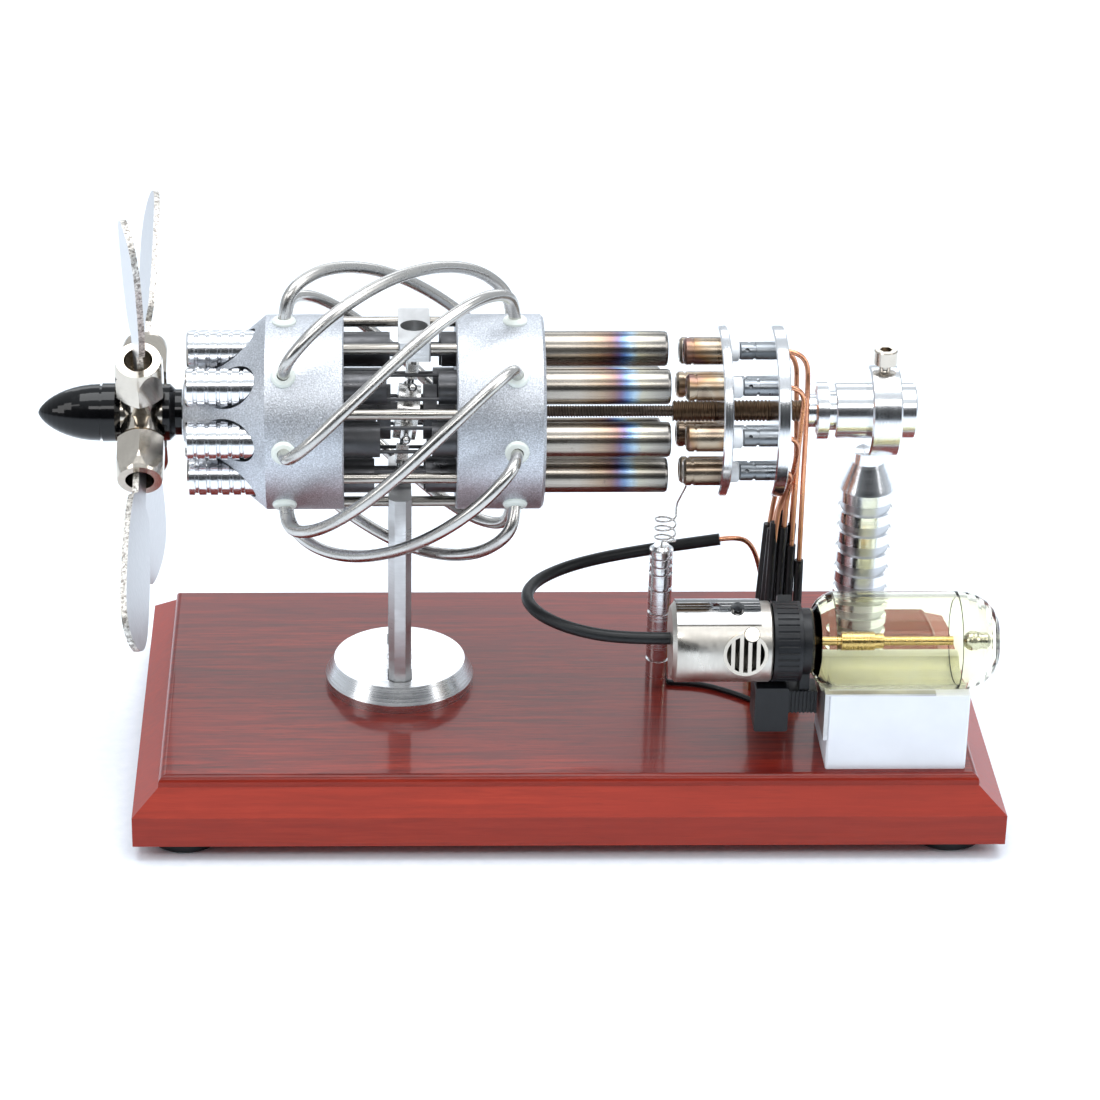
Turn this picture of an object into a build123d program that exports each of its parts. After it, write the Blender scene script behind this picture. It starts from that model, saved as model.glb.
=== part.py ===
"""Sixteen-cylinder hot-air engine model on a wooden base, with a propeller and a gas torch.

Millimetres. X runs along the engine (propeller at -X), Y away from the torch side, Z up.
The origin is on the surface the feet stand on, under the middle of the wooden base.
Angles round the engine axis: 0 points to -Y, 90 points up.
"""
from build123d import *
import math
import os

# ---------------------------------------------------------------- driving dimensions
BASE_LENGTH = 250.0
BASE_WIDTH = 132.0
BASE_EDGE_HEIGHT = 9.3
BASE_BEVEL_INSET = 7.4
BASE_BEVEL_RISE = 6.0
BASE_THICKNESS = 18.5
BASE_TOP_RADIUS = 2.2

FOOT_HEIGHT = 5.0
FOOT_RADIUS = 11.0
FOOT_X = 110.5
FOOT_Y = 51.0
FOOT_SCREW_RADIUS = 1.5
FOOT_SCREW_TOP = 14.0
FOOT_RECESS_RADIUS = 3.5
FOOT_RECESS_DEPTH = 3.0

AXIS_HEIGHT = 111.6
CYLINDER_COUNT = 8
STEP_ANGLE = 360.0 / CYLINDER_COUNT
CYLINDER_CIRCLE = 19.6
DRUM_RADIUS = 28.2
BORE_RADIUS = 5.0
RUNNING_CLEARANCE = 0.05
PISTON_ROOM_RADIUS = 5.35

CONE_START_X = -110.5
CONE_START_RADIUS = 8.4
FRONT_DRUM_X = (-86.5, -64.2)
REAR_DRUM_X = (-32.0, -6.8)
POWER_CYLINDER_X = (-109.2, -64.2)
POWER_CYLINDER_RADIUS = 5.55
HOT_CYLINDER_X = (-18.0, 28.8)
HOT_CYLINDER_RADIUS = 5.05
HOT_BORE_RADIUS = 4.6

TIE_ROD_CIRCLE = 26.0
TIE_ROD_RADIUS = 1.5
TIE_ROD_GRIP = 6.0

TUBE_RADIUS = 1.8
TUBE_FRONT_X = -81.2
TUBE_REAR_X = -15.1
TUBE_TWIST = 90.0
TUBE_END_RADIUS = 25.4
SEAL_RADIUS = 3.5
SEAL_RISE = 1.3

SWASH_X = -46.0
STROKE_HALF = 2.5
REST_PHASE = 100.0
ARM_RADIUS = CYLINDER_CIRCLE
TILT = math.degrees(math.asin(STROKE_HALF / ARM_RADIUS))
BALL_RADIUS = 1.3
HUB_RADIUS = 8.0
JOURNAL_RADIUS = 2.5
PISTON_GAP_HALF = 7.4
POWER_PISTON_LENGTH = 30.0
GUIDE_PISTON_LENGTH = 12.0
DRIVE_ROD_OFFSET = 3.7
DRIVE_ROD_RADIUS = 0.55
DISPLACER_ROD_LENGTH = 7.0
DISPLACER_ROD_RADIUS = 1.0
DISPLACER_RADIUS = 4.2
DISPLACER_END = 70.0

SHAFT_RADIUS = 2.0
BUSH_RADIUS = 4.0
HUB_X = -122.5
BLADE_ANGLES = (61.5, 151.5, 241.5, 331.5)
BLADE_RADIUS = 81.2
BLADE_THICKNESS = 1.8
BLADE_PITCH = 15.0
NOSE_FULLNESS = 0.65
NUT_FLATS = 13.3
NUT_START = 11.0
NUT_END = 24.5

POST_X = -48.0
POST_WIDTH = 6.6
POST_DEPTH = 32.0
POST_LEG = 8.0
POST_CHAMFER = 1.7
POST_BRIDGE_BOTTOM = 30.0
STAND_RADIUS = 22.1
STAND_TOP_RADIUS = 19.5
STAND_HEIGHT = 7.6
BLOCK_X = -44.0
BLOCK_LENGTH = 9.2
BLOCK_WIDTH = 26.0
BLOCK_TOP = 27.0
BLOCK_BOTTOM = 21.3
BLOCK_HOLE_RADIUS = 4.0

BURNER_CIRCLE = 18.8
BURNER_DISC_RADIUS = 24.8
FRONT_DISC_X = (43.6, 46.4)
REAR_DISC_X = (59.0, 62.7)
NOZZLE_X = (33.4, 43.6)
NOZZLE_RADIUS = 3.9
WHITE_BUSH_X = (46.4, 49.4)
JET_X = (49.4, 59.0)
CENTER_ROD_RADIUS = 1.8
SLEEVE_RADIUS = 3.2
SLEEVE_X = (31.0, 69.9)

REAR_SHAFT_END_X = 101.0
REAR_SHAFT_RADIUS = 8.1
CLAMP_X = (87.4, 96.0)
CLAMP_RADIUS = 13.2
REAR_POST_X = 88.6
REAR_POST_RADIUS = 8.1

TORCH_Y = -41.0
TORCH_Z = 57.8
BARREL_X = (29.0, 57.6)
BARREL_RADIUS = 11.6
RING_X = (57.9, 66.0)
RING_RADIUS = 11.5
NECK_RADIUS = 7.9
RING_CLEARANCE = 0.08
TANK_X = (69.4, 110.9)
TANK_RADIUS = 14.3
TANK_WALL = 1.6
CAP_END_X = 122.7
CRADLE_X = (73.7, 113.9)
CRADLE_Y = (-54.8, -26.8)
CRADLE_TOP = 47.3

IGNITION_X = 29.0
IGNITION_Y = -3.0
IGNITION_TOP = 69.7

PIPE_RADIUS = 0.75
PIPE_BEND_RADIUS = 5.0
PIPE_SLEEVE_RADIUS = 1.25
MANIFOLD_TOP = 33.5
# Points of each pipe after it leaves the rear disc, by its angle on that disc. The last is on the manifold.
PIPE_RUNS = {
    90: [(69.2, 0.0, 130.4), (69.2, -5.6, 119.0), (69.2, -5.6, 84.0), (69.6, -5.6, 33.5)],
    45: [(67.4, -13.3, 124.9), (67.4, -9.0, 112.0), (67.0, -5.6, 96.0), (66.6, -5.6, 33.5)],
    0: [
        (65.8, -18.8, 111.6),
        (65.8, -10.5, 98.0),
        (65.3, -5.6, 90.0),
        (64.3, -5.6, 80.0),
        (63.6, -5.6, 33.5),
    ],
    315: [(65.0, -13.3, 98.3), (64.0, -8.6, 90.0), (61.6, -5.9, 80.0), (60.6, -5.6, 33.5)],
    270: [(65.6, 0.0, 92.8), (64.0, -2.8, 86.0), (61.2, -2.9, 76.0), (59.4, -2.9, 33.5)],
    180: [(66.0, 18.8, 111.6), (66.0, 9.0, 98.0), (64.8, -2.0, 84.0), (62.4, -2.9, 33.5)],
    135: [(67.8, 13.3, 124.9), (67.8, 8.6, 111.6), (67.8, -1.6, 90.0), (65.4, -2.9, 33.5)],
    225: [(65.0, 13.3, 98.3), (64.4, 6.6, 88.0), (60.6, 1.4, 76.0), (58.0, 0.0, 33.5)],
}
PIPE_SLEEVE_TOPS = {90: 66.0, 45: 71.0, 0: 77.0, 315: 76.0, 270: 72.0, 180: 76.0, 135: 73.0, 225: 71.0}

GRILLE_X = 49.6
GRILLE_ANGLE = 8.0
GRILLE_RADIUS = 6.4
TORCH_SCREW_X = 51.3
TORCH_SCREW_ANGLE = 37.0
PIEZO_X = (62.2, 71.6)
PIEZO_Z = (36.5, 43.5)
TRIGGER_X = (53.5, 63.2)
TRIGGER_Z = (31.5, 45.6)
IGNITION_WIRE_ROUTE = [
    (32.4, -4.0, 24.4),
    (43.0, -5.5, 24.4),
    (53.0, -12.0, 24.4),
    (61.0, -20.0, 24.4),
    (66.0, -27.0, 28.0),
    (67.4, -29.5, 39.8),
    (67.4, -37.0, 39.8),
]
FEED_ROUTE = [
    (47.0, 6.2, 67.0),
    (52.5, 5.5, 68.2),
    (57.0, 7.4, 64.5),
    (60.0, 9.2, 55.0),
    (62.0, 10.0, 43.0),
    (63.0, 10.0, 28.5),
    (63.0, 5.0, 28.5),
]

HOSE_RADIUS = 1.8
HOSE_ROUTE = [
    (29.0, -41.0, 58.8),
    (15.0, -41.0, 58.8),
    (1.5, -37.0, 59.5),
    (-8.0, -28.8, 60.0),
    (-11.8, -17.5, 59.9),
    (-8.4, -6.2, 59.5),
    (1.0, 2.6, 59.7),
    (13.0, 6.9, 60.9),
    (28.0, 7.8, 63.2),
    (39.0, 7.2, 65.3),
    (47.0, 6.2, 67.0),
]

# ---------------------------------------------------------------- worked-out levels
BOARD_BOTTOM = FOOT_HEIGHT
BOARD_TOP = FOOT_HEIGHT + BASE_THICKNESS
ANGLES = [STEP_ANGLE * index for index in range(CYLINDER_COUNT)]


# ---------------------------------------------------------------- helpers
def rod(radius, start, end, y=0.0, z=AXIS_HEIGHT):
    """Solid cylinder along X from start to end."""
    bar = Cylinder(radius, end - start, align=(Align.CENTER, Align.CENTER, Align.MIN))
    return Pos(start, y, z) * Rot(0, 90, 0) * bar


def upright(radius, bottom, top, x, y):
    """Solid cylinder along Z from bottom to top."""
    bar = Cylinder(radius, top - bottom, align=(Align.CENTER, Align.CENTER, Align.MIN))
    return Pos(x, y, bottom) * bar


def block(x_range, y_range, z_range):
    """Box given by its three ranges."""
    size = [high - low for low, high in (x_range, y_range, z_range)]
    middle = [(low + high) / 2 for low, high in (x_range, y_range, z_range)]
    return Pos(*middle) * Box(*size)


def turned_x(profile, y=0.0, z=AXIS_HEIGHT):
    """Solid of revolution about an X line, from (x, radius) points."""
    outline = Polyline(*[(x, 0.0, radius) for x, radius in profile], close=True)
    solid = revolve(make_face(outline), axis=Axis.X, revolution_arc=360)
    return Pos(0, y, z) * solid


def turned_z(profile, x=0.0, y=0.0):
    """Solid of revolution about a vertical line, from (radius, z) points."""
    outline = Polyline(*[(radius, 0.0, z) for radius, z in profile], close=True)
    solid = revolve(make_face(outline), axis=Axis.Z, revolution_arc=360)
    return Pos(x, y, 0) * solid


def around(shape, angle):
    """Turn a shape whose radial direction is up to the given angle about the engine axis."""
    return shape.rotate(Axis((0, 0, AXIS_HEIGHT), (1, 0, 0)), 90.0 - angle)


def on_circle(radius, angle, sideways=0.0):
    """Y and Z of a point on a circle about the engine axis, moved sideways along the circle."""
    turn = math.radians(angle)
    y = -radius * math.cos(turn) + sideways * math.sin(turn)
    z = radius * math.sin(turn) + sideways * math.cos(turn)
    return y, AXIS_HEIGHT + z


def solids_of(shapes):
    """Flatten shapes into one compound that keeps them as separate solids."""
    return Compound(children=[solid for shape in shapes for solid in shape.solids()])


def bent_tube(points, radius, fraction=0.45, largest=1000.0):
    """Round tube along straight runs joined by tangent arcs. Returns solid, length and radii."""
    vectors = [Vector(*point) for point in points]
    runs = [after - before for before, after in zip(vectors, vectors[1:])]
    radii = []
    for before, after in zip(runs, runs[1:]):
        half_turn = math.radians(before.get_angle(after)) / 2
        fitted = fraction * min(before.length, after.length) / math.tan(half_turn)
        radii.append(min(fitted, largest))
    path = FilletPolyline(*points, radius=radii)
    section = Plane(origin=points[0], z_dir=runs[0]) * Circle(radius)
    return sweep(section, path=path), path.length, radii


def write(name, shape):
    """Write one node."""
    shape.label = name
    export_step(shape, f"parts/{name}.step")


# ---------------------------------------------------------------- wooden base and feet
def make_base_board():
    """Lacquered board: upright edge, wide bevel, small step and a rounded top edge."""
    bevel_top = BOARD_BOTTOM + BASE_EDGE_HEIGHT + BASE_BEVEL_RISE
    lower = Pos(0, 0, BOARD_BOTTOM) * extrude(Rectangle(BASE_LENGTH, BASE_WIDTH), BASE_EDGE_HEIGHT)
    inner_length = BASE_LENGTH - 2 * BASE_BEVEL_INSET
    inner_width = BASE_WIDTH - 2 * BASE_BEVEL_INSET
    bevel_low = Pos(0, 0, BOARD_BOTTOM + BASE_EDGE_HEIGHT) * Rectangle(BASE_LENGTH, BASE_WIDTH)
    bevel_high = Pos(0, 0, bevel_top) * Rectangle(inner_length, inner_width)
    bevel = loft([bevel_low.face(), bevel_high.face()])
    crown = block(
        (-inner_length / 2, inner_length / 2),
        (-inner_width / 2, inner_width / 2),
        (bevel_top, BOARD_TOP),
    )
    crown = fillet(crown.faces().sort_by(Axis.Z)[-1].edges(), BASE_TOP_RADIUS)
    board = lower + bevel + crown
    for x, y in foot_places():
        board -= upright(FOOT_SCREW_RADIUS, BOARD_BOTTOM, FOOT_SCREW_TOP, x, y)
    return board


def foot_places():
    """Centres of the four feet."""
    return [(x, y) for x in (-FOOT_X, FOOT_X) for y in (-FOOT_Y, FOOT_Y)]


def make_rubber_feet():
    """Four rubber discs, each recessed for its screw."""
    edge = 0.8
    profile = [
        (0, 0),
        (FOOT_RADIUS - edge, 0),
        (FOOT_RADIUS, edge),
        (FOOT_RADIUS, FOOT_HEIGHT),
        (0, FOOT_HEIGHT),
    ]
    feet = []
    for x, y in foot_places():
        foot = turned_z(profile, x, y)
        foot -= upright(FOOT_SCREW_RADIUS, 0, FOOT_HEIGHT, x, y)
        foot -= upright(FOOT_RECESS_RADIUS, 0, FOOT_RECESS_DEPTH, x, y)
        feet.append(foot)
    return solids_of(feet)


def make_foot_screws():
    """Pan-head screws that hold the feet."""
    screws = []
    head_radius = FOOT_RECESS_RADIUS - 0.5
    head_bottom = 1.0
    for x, y in foot_places():
        head = upright(head_radius, head_bottom, FOOT_RECESS_DEPTH, x, y)
        screws.append(head + upright(FOOT_SCREW_RADIUS, FOOT_RECESS_DEPTH, FOOT_SCREW_TOP, x, y))
    return solids_of(screws)


# ---------------------------------------------------------------- stand
def leg_ranges(gap=0.0):
    """Y ranges of the two legs of the post, optionally widened by a gap."""
    inner = POST_DEPTH / 2 - POST_LEG
    outer = POST_DEPTH / 2
    return [(-outer - gap, -inner + gap), (inner - gap, outer + gap)]


def make_post():
    """Two-legged post with chamfered edges, bridged at the top round the lowest piston line."""
    x_range = (POST_X - POST_WIDTH / 2, POST_X + POST_WIDTH / 2)
    top = AXIS_HEIGHT - BLOCK_BOTTOM
    bar = block(x_range, (-POST_DEPTH / 2, POST_DEPTH / 2), (BOARD_TOP, top))
    bar = chamfer(bar.edges().filter_by(Axis.Z), POST_CHAMFER)
    for angle in (247.5, 292.5):
        y, z = on_circle(TIE_ROD_CIRCLE, angle)
        bar -= rod(TIE_ROD_RADIUS, *x_range, y, z)
    bar -= rod(PISTON_ROOM_RADIUS, *x_range, 0, AXIS_HEIGHT - CYLINDER_CIRCLE)
    inner = POST_DEPTH / 2 - POST_LEG
    return bar - block(x_range, (-inner, inner), (BOARD_TOP, AXIS_HEIGHT - POST_BRIDGE_BOTTOM))


def make_stand_disc():
    """Turned disc with a wide chamfer and a slot for the post."""
    disc = turned_z(
        [
            (0, BOARD_TOP),
            (STAND_RADIUS, BOARD_TOP),
            (STAND_RADIUS, BOARD_TOP + 2.7),
            (STAND_TOP_RADIUS, BOARD_TOP + STAND_HEIGHT),
            (0, BOARD_TOP + STAND_HEIGHT),
        ],
        POST_X,
        0,
    )
    gap = 0.25
    x_range = (POST_X - POST_WIDTH / 2 - gap, POST_X + POST_WIDTH / 2 + gap)
    z_range = (BOARD_TOP, BOARD_TOP + STAND_HEIGHT)
    slot = block(x_range, (-POST_DEPTH / 2 - gap, POST_DEPTH / 2 + gap), z_range)
    slot = chamfer(slot.edges().filter_by(Axis.Z), POST_CHAMFER)
    for y_range in leg_ranges(gap):
        disc -= slot & block(x_range, y_range, z_range)
    return disc


def make_top_block():
    """Clamp block across the two top tie rods, with an open threaded hole."""
    half = BLOCK_LENGTH / 2
    body = block(
        (BLOCK_X - half, BLOCK_X + half),
        (-BLOCK_WIDTH / 2, BLOCK_WIDTH / 2),
        (AXIS_HEIGHT + BLOCK_BOTTOM, AXIS_HEIGHT + BLOCK_TOP),
    )
    body = chamfer(body.edges().filter_by(Axis.Z), 0.4)
    for angle in (67.5, 112.5):
        y, z = on_circle(TIE_ROD_CIRCLE, angle)
        body -= rod(TIE_ROD_RADIUS, BLOCK_X - half, BLOCK_X + half, y, z)
    body -= rod(PISTON_ROOM_RADIUS, BLOCK_X - half, BLOCK_X + half, 0, AXIS_HEIGHT + CYLINDER_CIRCLE)
    return body - upright(BLOCK_HOLE_RADIUS, AXIS_HEIGHT + BLOCK_BOTTOM, AXIS_HEIGHT + BLOCK_TOP, BLOCK_X, 0)


# ---------------------------------------------------------------- engine casings
def cut_tie_rods(drum, inner_face, direction):
    """Blind holes for the eight tie rods in one casing."""
    end = inner_face + direction * TIE_ROD_GRIP
    low, high = sorted((inner_face, end))
    for angle in ANGLES:
        y, z = on_circle(TIE_ROD_CIRCLE, angle + STEP_ANGLE / 2)
        drum -= rod(TIE_ROD_RADIUS, low, high, y, z)
    return drum


def cut_ports(drum, port_x):
    """Radial holes that the transfer tubes enter."""
    hole = upright(TUBE_RADIUS, AXIS_HEIGHT + TUBE_END_RADIUS, AXIS_HEIGHT + DRUM_RADIUS + 2, port_x, 0)
    for angle in ANGLES:
        drum -= around(hole, angle)
    return drum


def make_front_housing():
    """Cone and drum bored for the power cylinders."""
    drum_start, drum_end = FRONT_DRUM_X
    body = turned_x(
        [
            (CONE_START_X, 0),
            (CONE_START_X, CONE_START_RADIUS),
            (drum_start, DRUM_RADIUS),
            (drum_end - 0.4, DRUM_RADIUS),
            (drum_end, DRUM_RADIUS - 0.4),
            (drum_end, 0),
        ]
    )
    recess_end = drum_start - 1.5
    for angle in ANGLES:
        y, z = on_circle(CYLINDER_CIRCLE, angle)
        body -= rod(POWER_CYLINDER_RADIUS + 0.55, CONE_START_X, recess_end, y, z)
        body -= rod(POWER_CYLINDER_RADIUS, recess_end, drum_end, y, z)
    body -= rod(SHAFT_RADIUS + 1.0, CONE_START_X, drum_end)
    for start, end in bush_places()[:2]:
        body -= rod(BUSH_RADIUS, start, end)
    body = cut_tie_rods(body, drum_end, -1)
    return cut_ports(body, TUBE_FRONT_X)


def make_rear_housing():
    """Drum bored for the hot cylinders and their guide pistons."""
    start, end = REAR_DRUM_X
    body = turned_x(
        [
            (start, 0),
            (start, DRUM_RADIUS - 0.4),
            (start + 0.4, DRUM_RADIUS),
            (end - 0.8, DRUM_RADIUS),
            (end, DRUM_RADIUS - 0.8),
            (end, 0),
        ]
    )
    for angle in ANGLES:
        y, z = on_circle(CYLINDER_CIRCLE, angle)
        body -= rod(BORE_RADIUS, start, HOT_CYLINDER_X[0], y, z)
        body -= rod(HOT_CYLINDER_RADIUS, HOT_CYLINDER_X[0], end, y, z)
    body -= rod(BUSH_RADIUS, *bush_places()[2])
    body -= rod(CENTER_ROD_RADIUS, -20.0, end)
    body = cut_tie_rods(body, start, 1)
    return cut_ports(body, TUBE_REAR_X)


def bush_places():
    """X ranges of the three plain bearings of the shaft."""
    return [(-110.5, -103.5), (-72.2, -64.2), (-32.0, -24.0)]


def make_shaft_bushes():
    """Bronze bushes with a running clearance on the shaft."""
    bushes = []
    for start, end in bush_places():
        bush = rod(BUSH_RADIUS, start, end)
        bushes.append(bush - rod(SHAFT_RADIUS + RUNNING_CLEARANCE, start, end))
    return solids_of(bushes)


def make_tie_rods():
    """Eight rods that hold the two casings apart."""
    start = FRONT_DRUM_X[1] - TIE_ROD_GRIP
    end = REAR_DRUM_X[0] + TIE_ROD_GRIP
    rods = []
    for angle in ANGLES:
        y, z = on_circle(TIE_ROD_CIRCLE, angle + STEP_ANGLE / 2)
        rods.append(rod(TIE_ROD_RADIUS, start, end, y, z))
    return solids_of(rods)


def make_power_cylinders():
    """Eight turned sleeves with ring grooves and a closed outer end."""
    start, end = POWER_CYLINDER_X
    groove_pitch = 3.3
    groove_width = 1.3
    groove_depth = 0.5
    slope = 0.35
    edge = 0.6
    profile = [(start, 0), (start, POWER_CYLINDER_RADIUS - edge), (start + edge, POWER_CYLINDER_RADIUS)]
    for index in range(5):
        left = start + 2.2 + index * groove_pitch
        profile += [
            (left, POWER_CYLINDER_RADIUS),
            (left + slope, POWER_CYLINDER_RADIUS - groove_depth),
            (left + groove_width - slope, POWER_CYLINDER_RADIUS - groove_depth),
            (left + groove_width, POWER_CYLINDER_RADIUS),
        ]
    end_wall = 1.7
    profile += [
        (end, POWER_CYLINDER_RADIUS),
        (end, BORE_RADIUS),
        (start + end_wall, BORE_RADIUS),
        (start + end_wall, 0),
    ]
    sleeve = turned_x(profile)
    return solids_of([place_on_circle(sleeve, angle) for angle in ANGLES])


def place_on_circle(shape, angle, radius=CYLINDER_CIRCLE):
    """Move a shape made on the engine axis to its place on the cylinder circle."""
    y, z = on_circle(radius, angle)
    return Pos(0, y, z - AXIS_HEIGHT) * shape


def make_hot_cylinders():
    """Eight thin steel hot caps, closed and rounded at the burner end."""
    start, end = HOT_CYLINDER_X
    edge = 0.9
    wall_end = end - 0.8
    shell = turned_x(
        [
            (start, HOT_BORE_RADIUS),
            (start, HOT_CYLINDER_RADIUS),
            (end - edge, HOT_CYLINDER_RADIUS),
            (end - edge * 0.3, HOT_CYLINDER_RADIUS - edge * 0.3),
            (end, HOT_CYLINDER_RADIUS - edge),
            (end, 0),
            (wall_end, 0),
            (wall_end, HOT_BORE_RADIUS),
        ]
    )
    return solids_of([place_on_circle(shell, angle) for angle in ANGLES])


def transfer_tube_route(start_angle):
    """Route of one gas tube: out of the front casing, a quarter turn round, into the rear one."""
    span = TUBE_REAR_X - TUBE_FRONT_X
    stations = [
        (0.000, TUBE_END_RADIUS, 0.000),
        (0.000, 33.0, 0.000),
        (0.045, 38.2, 0.050),
        (0.160, 41.2, 0.170),
        (0.320, 42.2, 0.325),
        (0.500, 42.4, 0.500),
        (0.680, 42.2, 0.675),
        (0.840, 41.2, 0.830),
        (0.955, 38.2, 0.950),
        (1.000, 33.0, 1.000),
        (1.000, TUBE_END_RADIUS, 1.000),
    ]
    route = []
    for along, radius, twist in stations:
        y, z = on_circle(radius, start_angle + TUBE_TWIST * twist)
        route.append((TUBE_FRONT_X + span * along, y, z))
    return route


def make_transfer_tubes():
    """Eight bent steel tubes, each twisted a quarter turn round the engine."""
    return solids_of([bent_tube(transfer_tube_route(angle), TUBE_RADIUS)[0] for angle in ANGLES])


def make_tube_seals():
    """Domed sealant collars where the tubes enter the casings."""
    surface = AXIS_HEIGHT + DRUM_RADIUS
    dome = turned_z(
        [
            (TUBE_RADIUS, surface - 1.2),
            (SEAL_RADIUS, surface - 1.2),
            (SEAL_RADIUS, surface + SEAL_RISE * 0.3),
            (SEAL_RADIUS * 0.86, surface + SEAL_RISE * 0.8),
            (TUBE_RADIUS, surface + SEAL_RISE),
        ],
    )
    seals = []
    for port_x in (TUBE_FRONT_X, TUBE_REAR_X):
        collar = Pos(port_x, 0, 0) * dome
        collar -= rod(DRUM_RADIUS, port_x - SEAL_RADIUS - 1, port_x + SEAL_RADIUS + 1)
        seals += [around(collar, angle) for angle in ANGLES]
    return solids_of(seals)


# ---------------------------------------------------------------- swash mechanism
def tilt_direction():
    """Direction, in the plane across the shaft, whose rim leans furthest to +X."""
    turn = math.radians(REST_PHASE)
    return Vector(0, -math.cos(turn), math.sin(turn))


def tilt(shape):
    """Lean a shape made square to the shaft to the angle of the crank journal."""
    lean = tilt_direction()
    hinge = Axis((SWASH_X, 0, AXIS_HEIGHT), (0, lean.Z, -lean.Y))
    return shape.rotate(hinge, TILT)


def rest_offset(angle):
    """How far the pistons at one angle stand from mid-stroke at rest."""
    return STROKE_HALF * math.cos(math.radians(angle - REST_PHASE))


def make_crankshaft():
    """Shaft with two heavy round webs and a leaning journal between them."""
    web_inner = 4.7
    web_outer = 8.6
    journal_half = web_inner + 0.6
    shaft = rod(SHAFT_RADIUS, -132.0, SWASH_X - web_inner)
    shaft += rod(SHAFT_RADIUS, SWASH_X + web_inner, -24.5)
    shaft += rod(HUB_RADIUS, SWASH_X - web_outer, SWASH_X - web_inner)
    shaft += rod(HUB_RADIUS, SWASH_X + web_inner, SWASH_X + web_outer)
    return shaft + tilt(rod(JOURNAL_RADIUS, SWASH_X - journal_half, SWASH_X + journal_half))


def make_wobble_plate():
    """Hub on the leaning journal, with eight forked arms that end in balls."""
    hub_half = 3.2
    fork_half = 1.6
    fork_start = 11.0
    fork_end = 15.6
    arm_radius = 0.8
    plate = rod(HUB_RADIUS, SWASH_X - hub_half, SWASH_X + hub_half)
    for angle in ANGLES:
        arm = upright(arm_radius, AXIS_HEIGHT + HUB_RADIUS - 1.0, AXIS_HEIGHT + ARM_RADIUS, SWASH_X, 0)
        arm += Pos(SWASH_X, 0, AXIS_HEIGHT + ARM_RADIUS) * Sphere(BALL_RADIUS)
        arm += block(
            (SWASH_X - fork_half, SWASH_X + fork_half),
            (-fork_half, fork_half),
            (AXIS_HEIGHT + fork_start, AXIS_HEIGHT + fork_end),
        )
        plate += around(arm, angle)
    plate -= rod(JOURNAL_RADIUS + RUNNING_CLEARANCE, SWASH_X - hub_half, SWASH_X + hub_half)
    return tilt(plate)


def make_piston_set(angle):
    """Power piston, drive rods, guide piston, displacer rod and displacer on one line."""
    middle = SWASH_X + rest_offset(angle)
    y, z = on_circle(CYLINDER_CIRCLE, angle)
    piston_radius = BORE_RADIUS - RUNNING_CLEARANCE
    gap_start = middle - PISTON_GAP_HALF
    gap_end = middle + PISTON_GAP_HALF
    guide_end = gap_end + GUIDE_PISTON_LENGTH
    displacer_start = guide_end + DISPLACER_ROD_LENGTH
    pieces = [
        rod(piston_radius, gap_start - POWER_PISTON_LENGTH, gap_start, y, z),
        rod(piston_radius, gap_end, guide_end, y, z),
        rod(DISPLACER_ROD_RADIUS, guide_end, displacer_start, y, z),
        rod(DISPLACER_RADIUS, displacer_start, middle + DISPLACER_END, y, z),
    ]
    for sideways in (-DRIVE_ROD_OFFSET, DRIVE_ROD_OFFSET):
        rod_y, rod_z = on_circle(CYLINDER_CIRCLE, angle, sideways)
        pieces.append(rod(DRIVE_ROD_RADIUS, gap_start, gap_end, rod_y, rod_z))
    return solids_of(pieces)


# ---------------------------------------------------------------- propeller
def make_spinner():
    """Pointed nose with a ring groove and a stepped back."""
    tip_x = -152.7
    shoulder_x = -134.6
    back_x = -128.6
    nose_radius = 8.3
    profile = [(tip_x, 0)]
    steps = 12
    for index in range(1, steps + 1):
        share = (index / steps) ** 2
        radius = nose_radius * (1 - (1 - share) ** 2) ** NOSE_FULLNESS
        profile.append((tip_x + (shoulder_x - tip_x) * share, radius))
    profile += [
        (shoulder_x, nose_radius - 0.5),
        (shoulder_x + 0.7, nose_radius - 0.5),
        (shoulder_x + 0.7, nose_radius + 0.2),
        (back_x - 1.5, nose_radius + 0.2),
        (back_x, nose_radius - 1.6),
        (back_x, 0),
    ]
    return turned_x(profile) - rod(SHAFT_RADIUS, -132.0, back_x)


def make_prop_hub():
    """Plated cross that the four nuts screw on."""
    hub = rod(6.2, -128.6, -116.4)
    for angle in BLADE_ANGLES:
        stub = upright(6.1, AXIS_HEIGHT, AXIS_HEIGHT + NUT_START - 1.0, HUB_X, 0)
        stub += upright(5.2, AXIS_HEIGHT, AXIS_HEIGHT + NUT_START + 5.0, HUB_X, 0)
        hub += around(stub, angle)
    return hub - rod(SHAFT_RADIUS, -128.6, -116.4)


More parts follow.
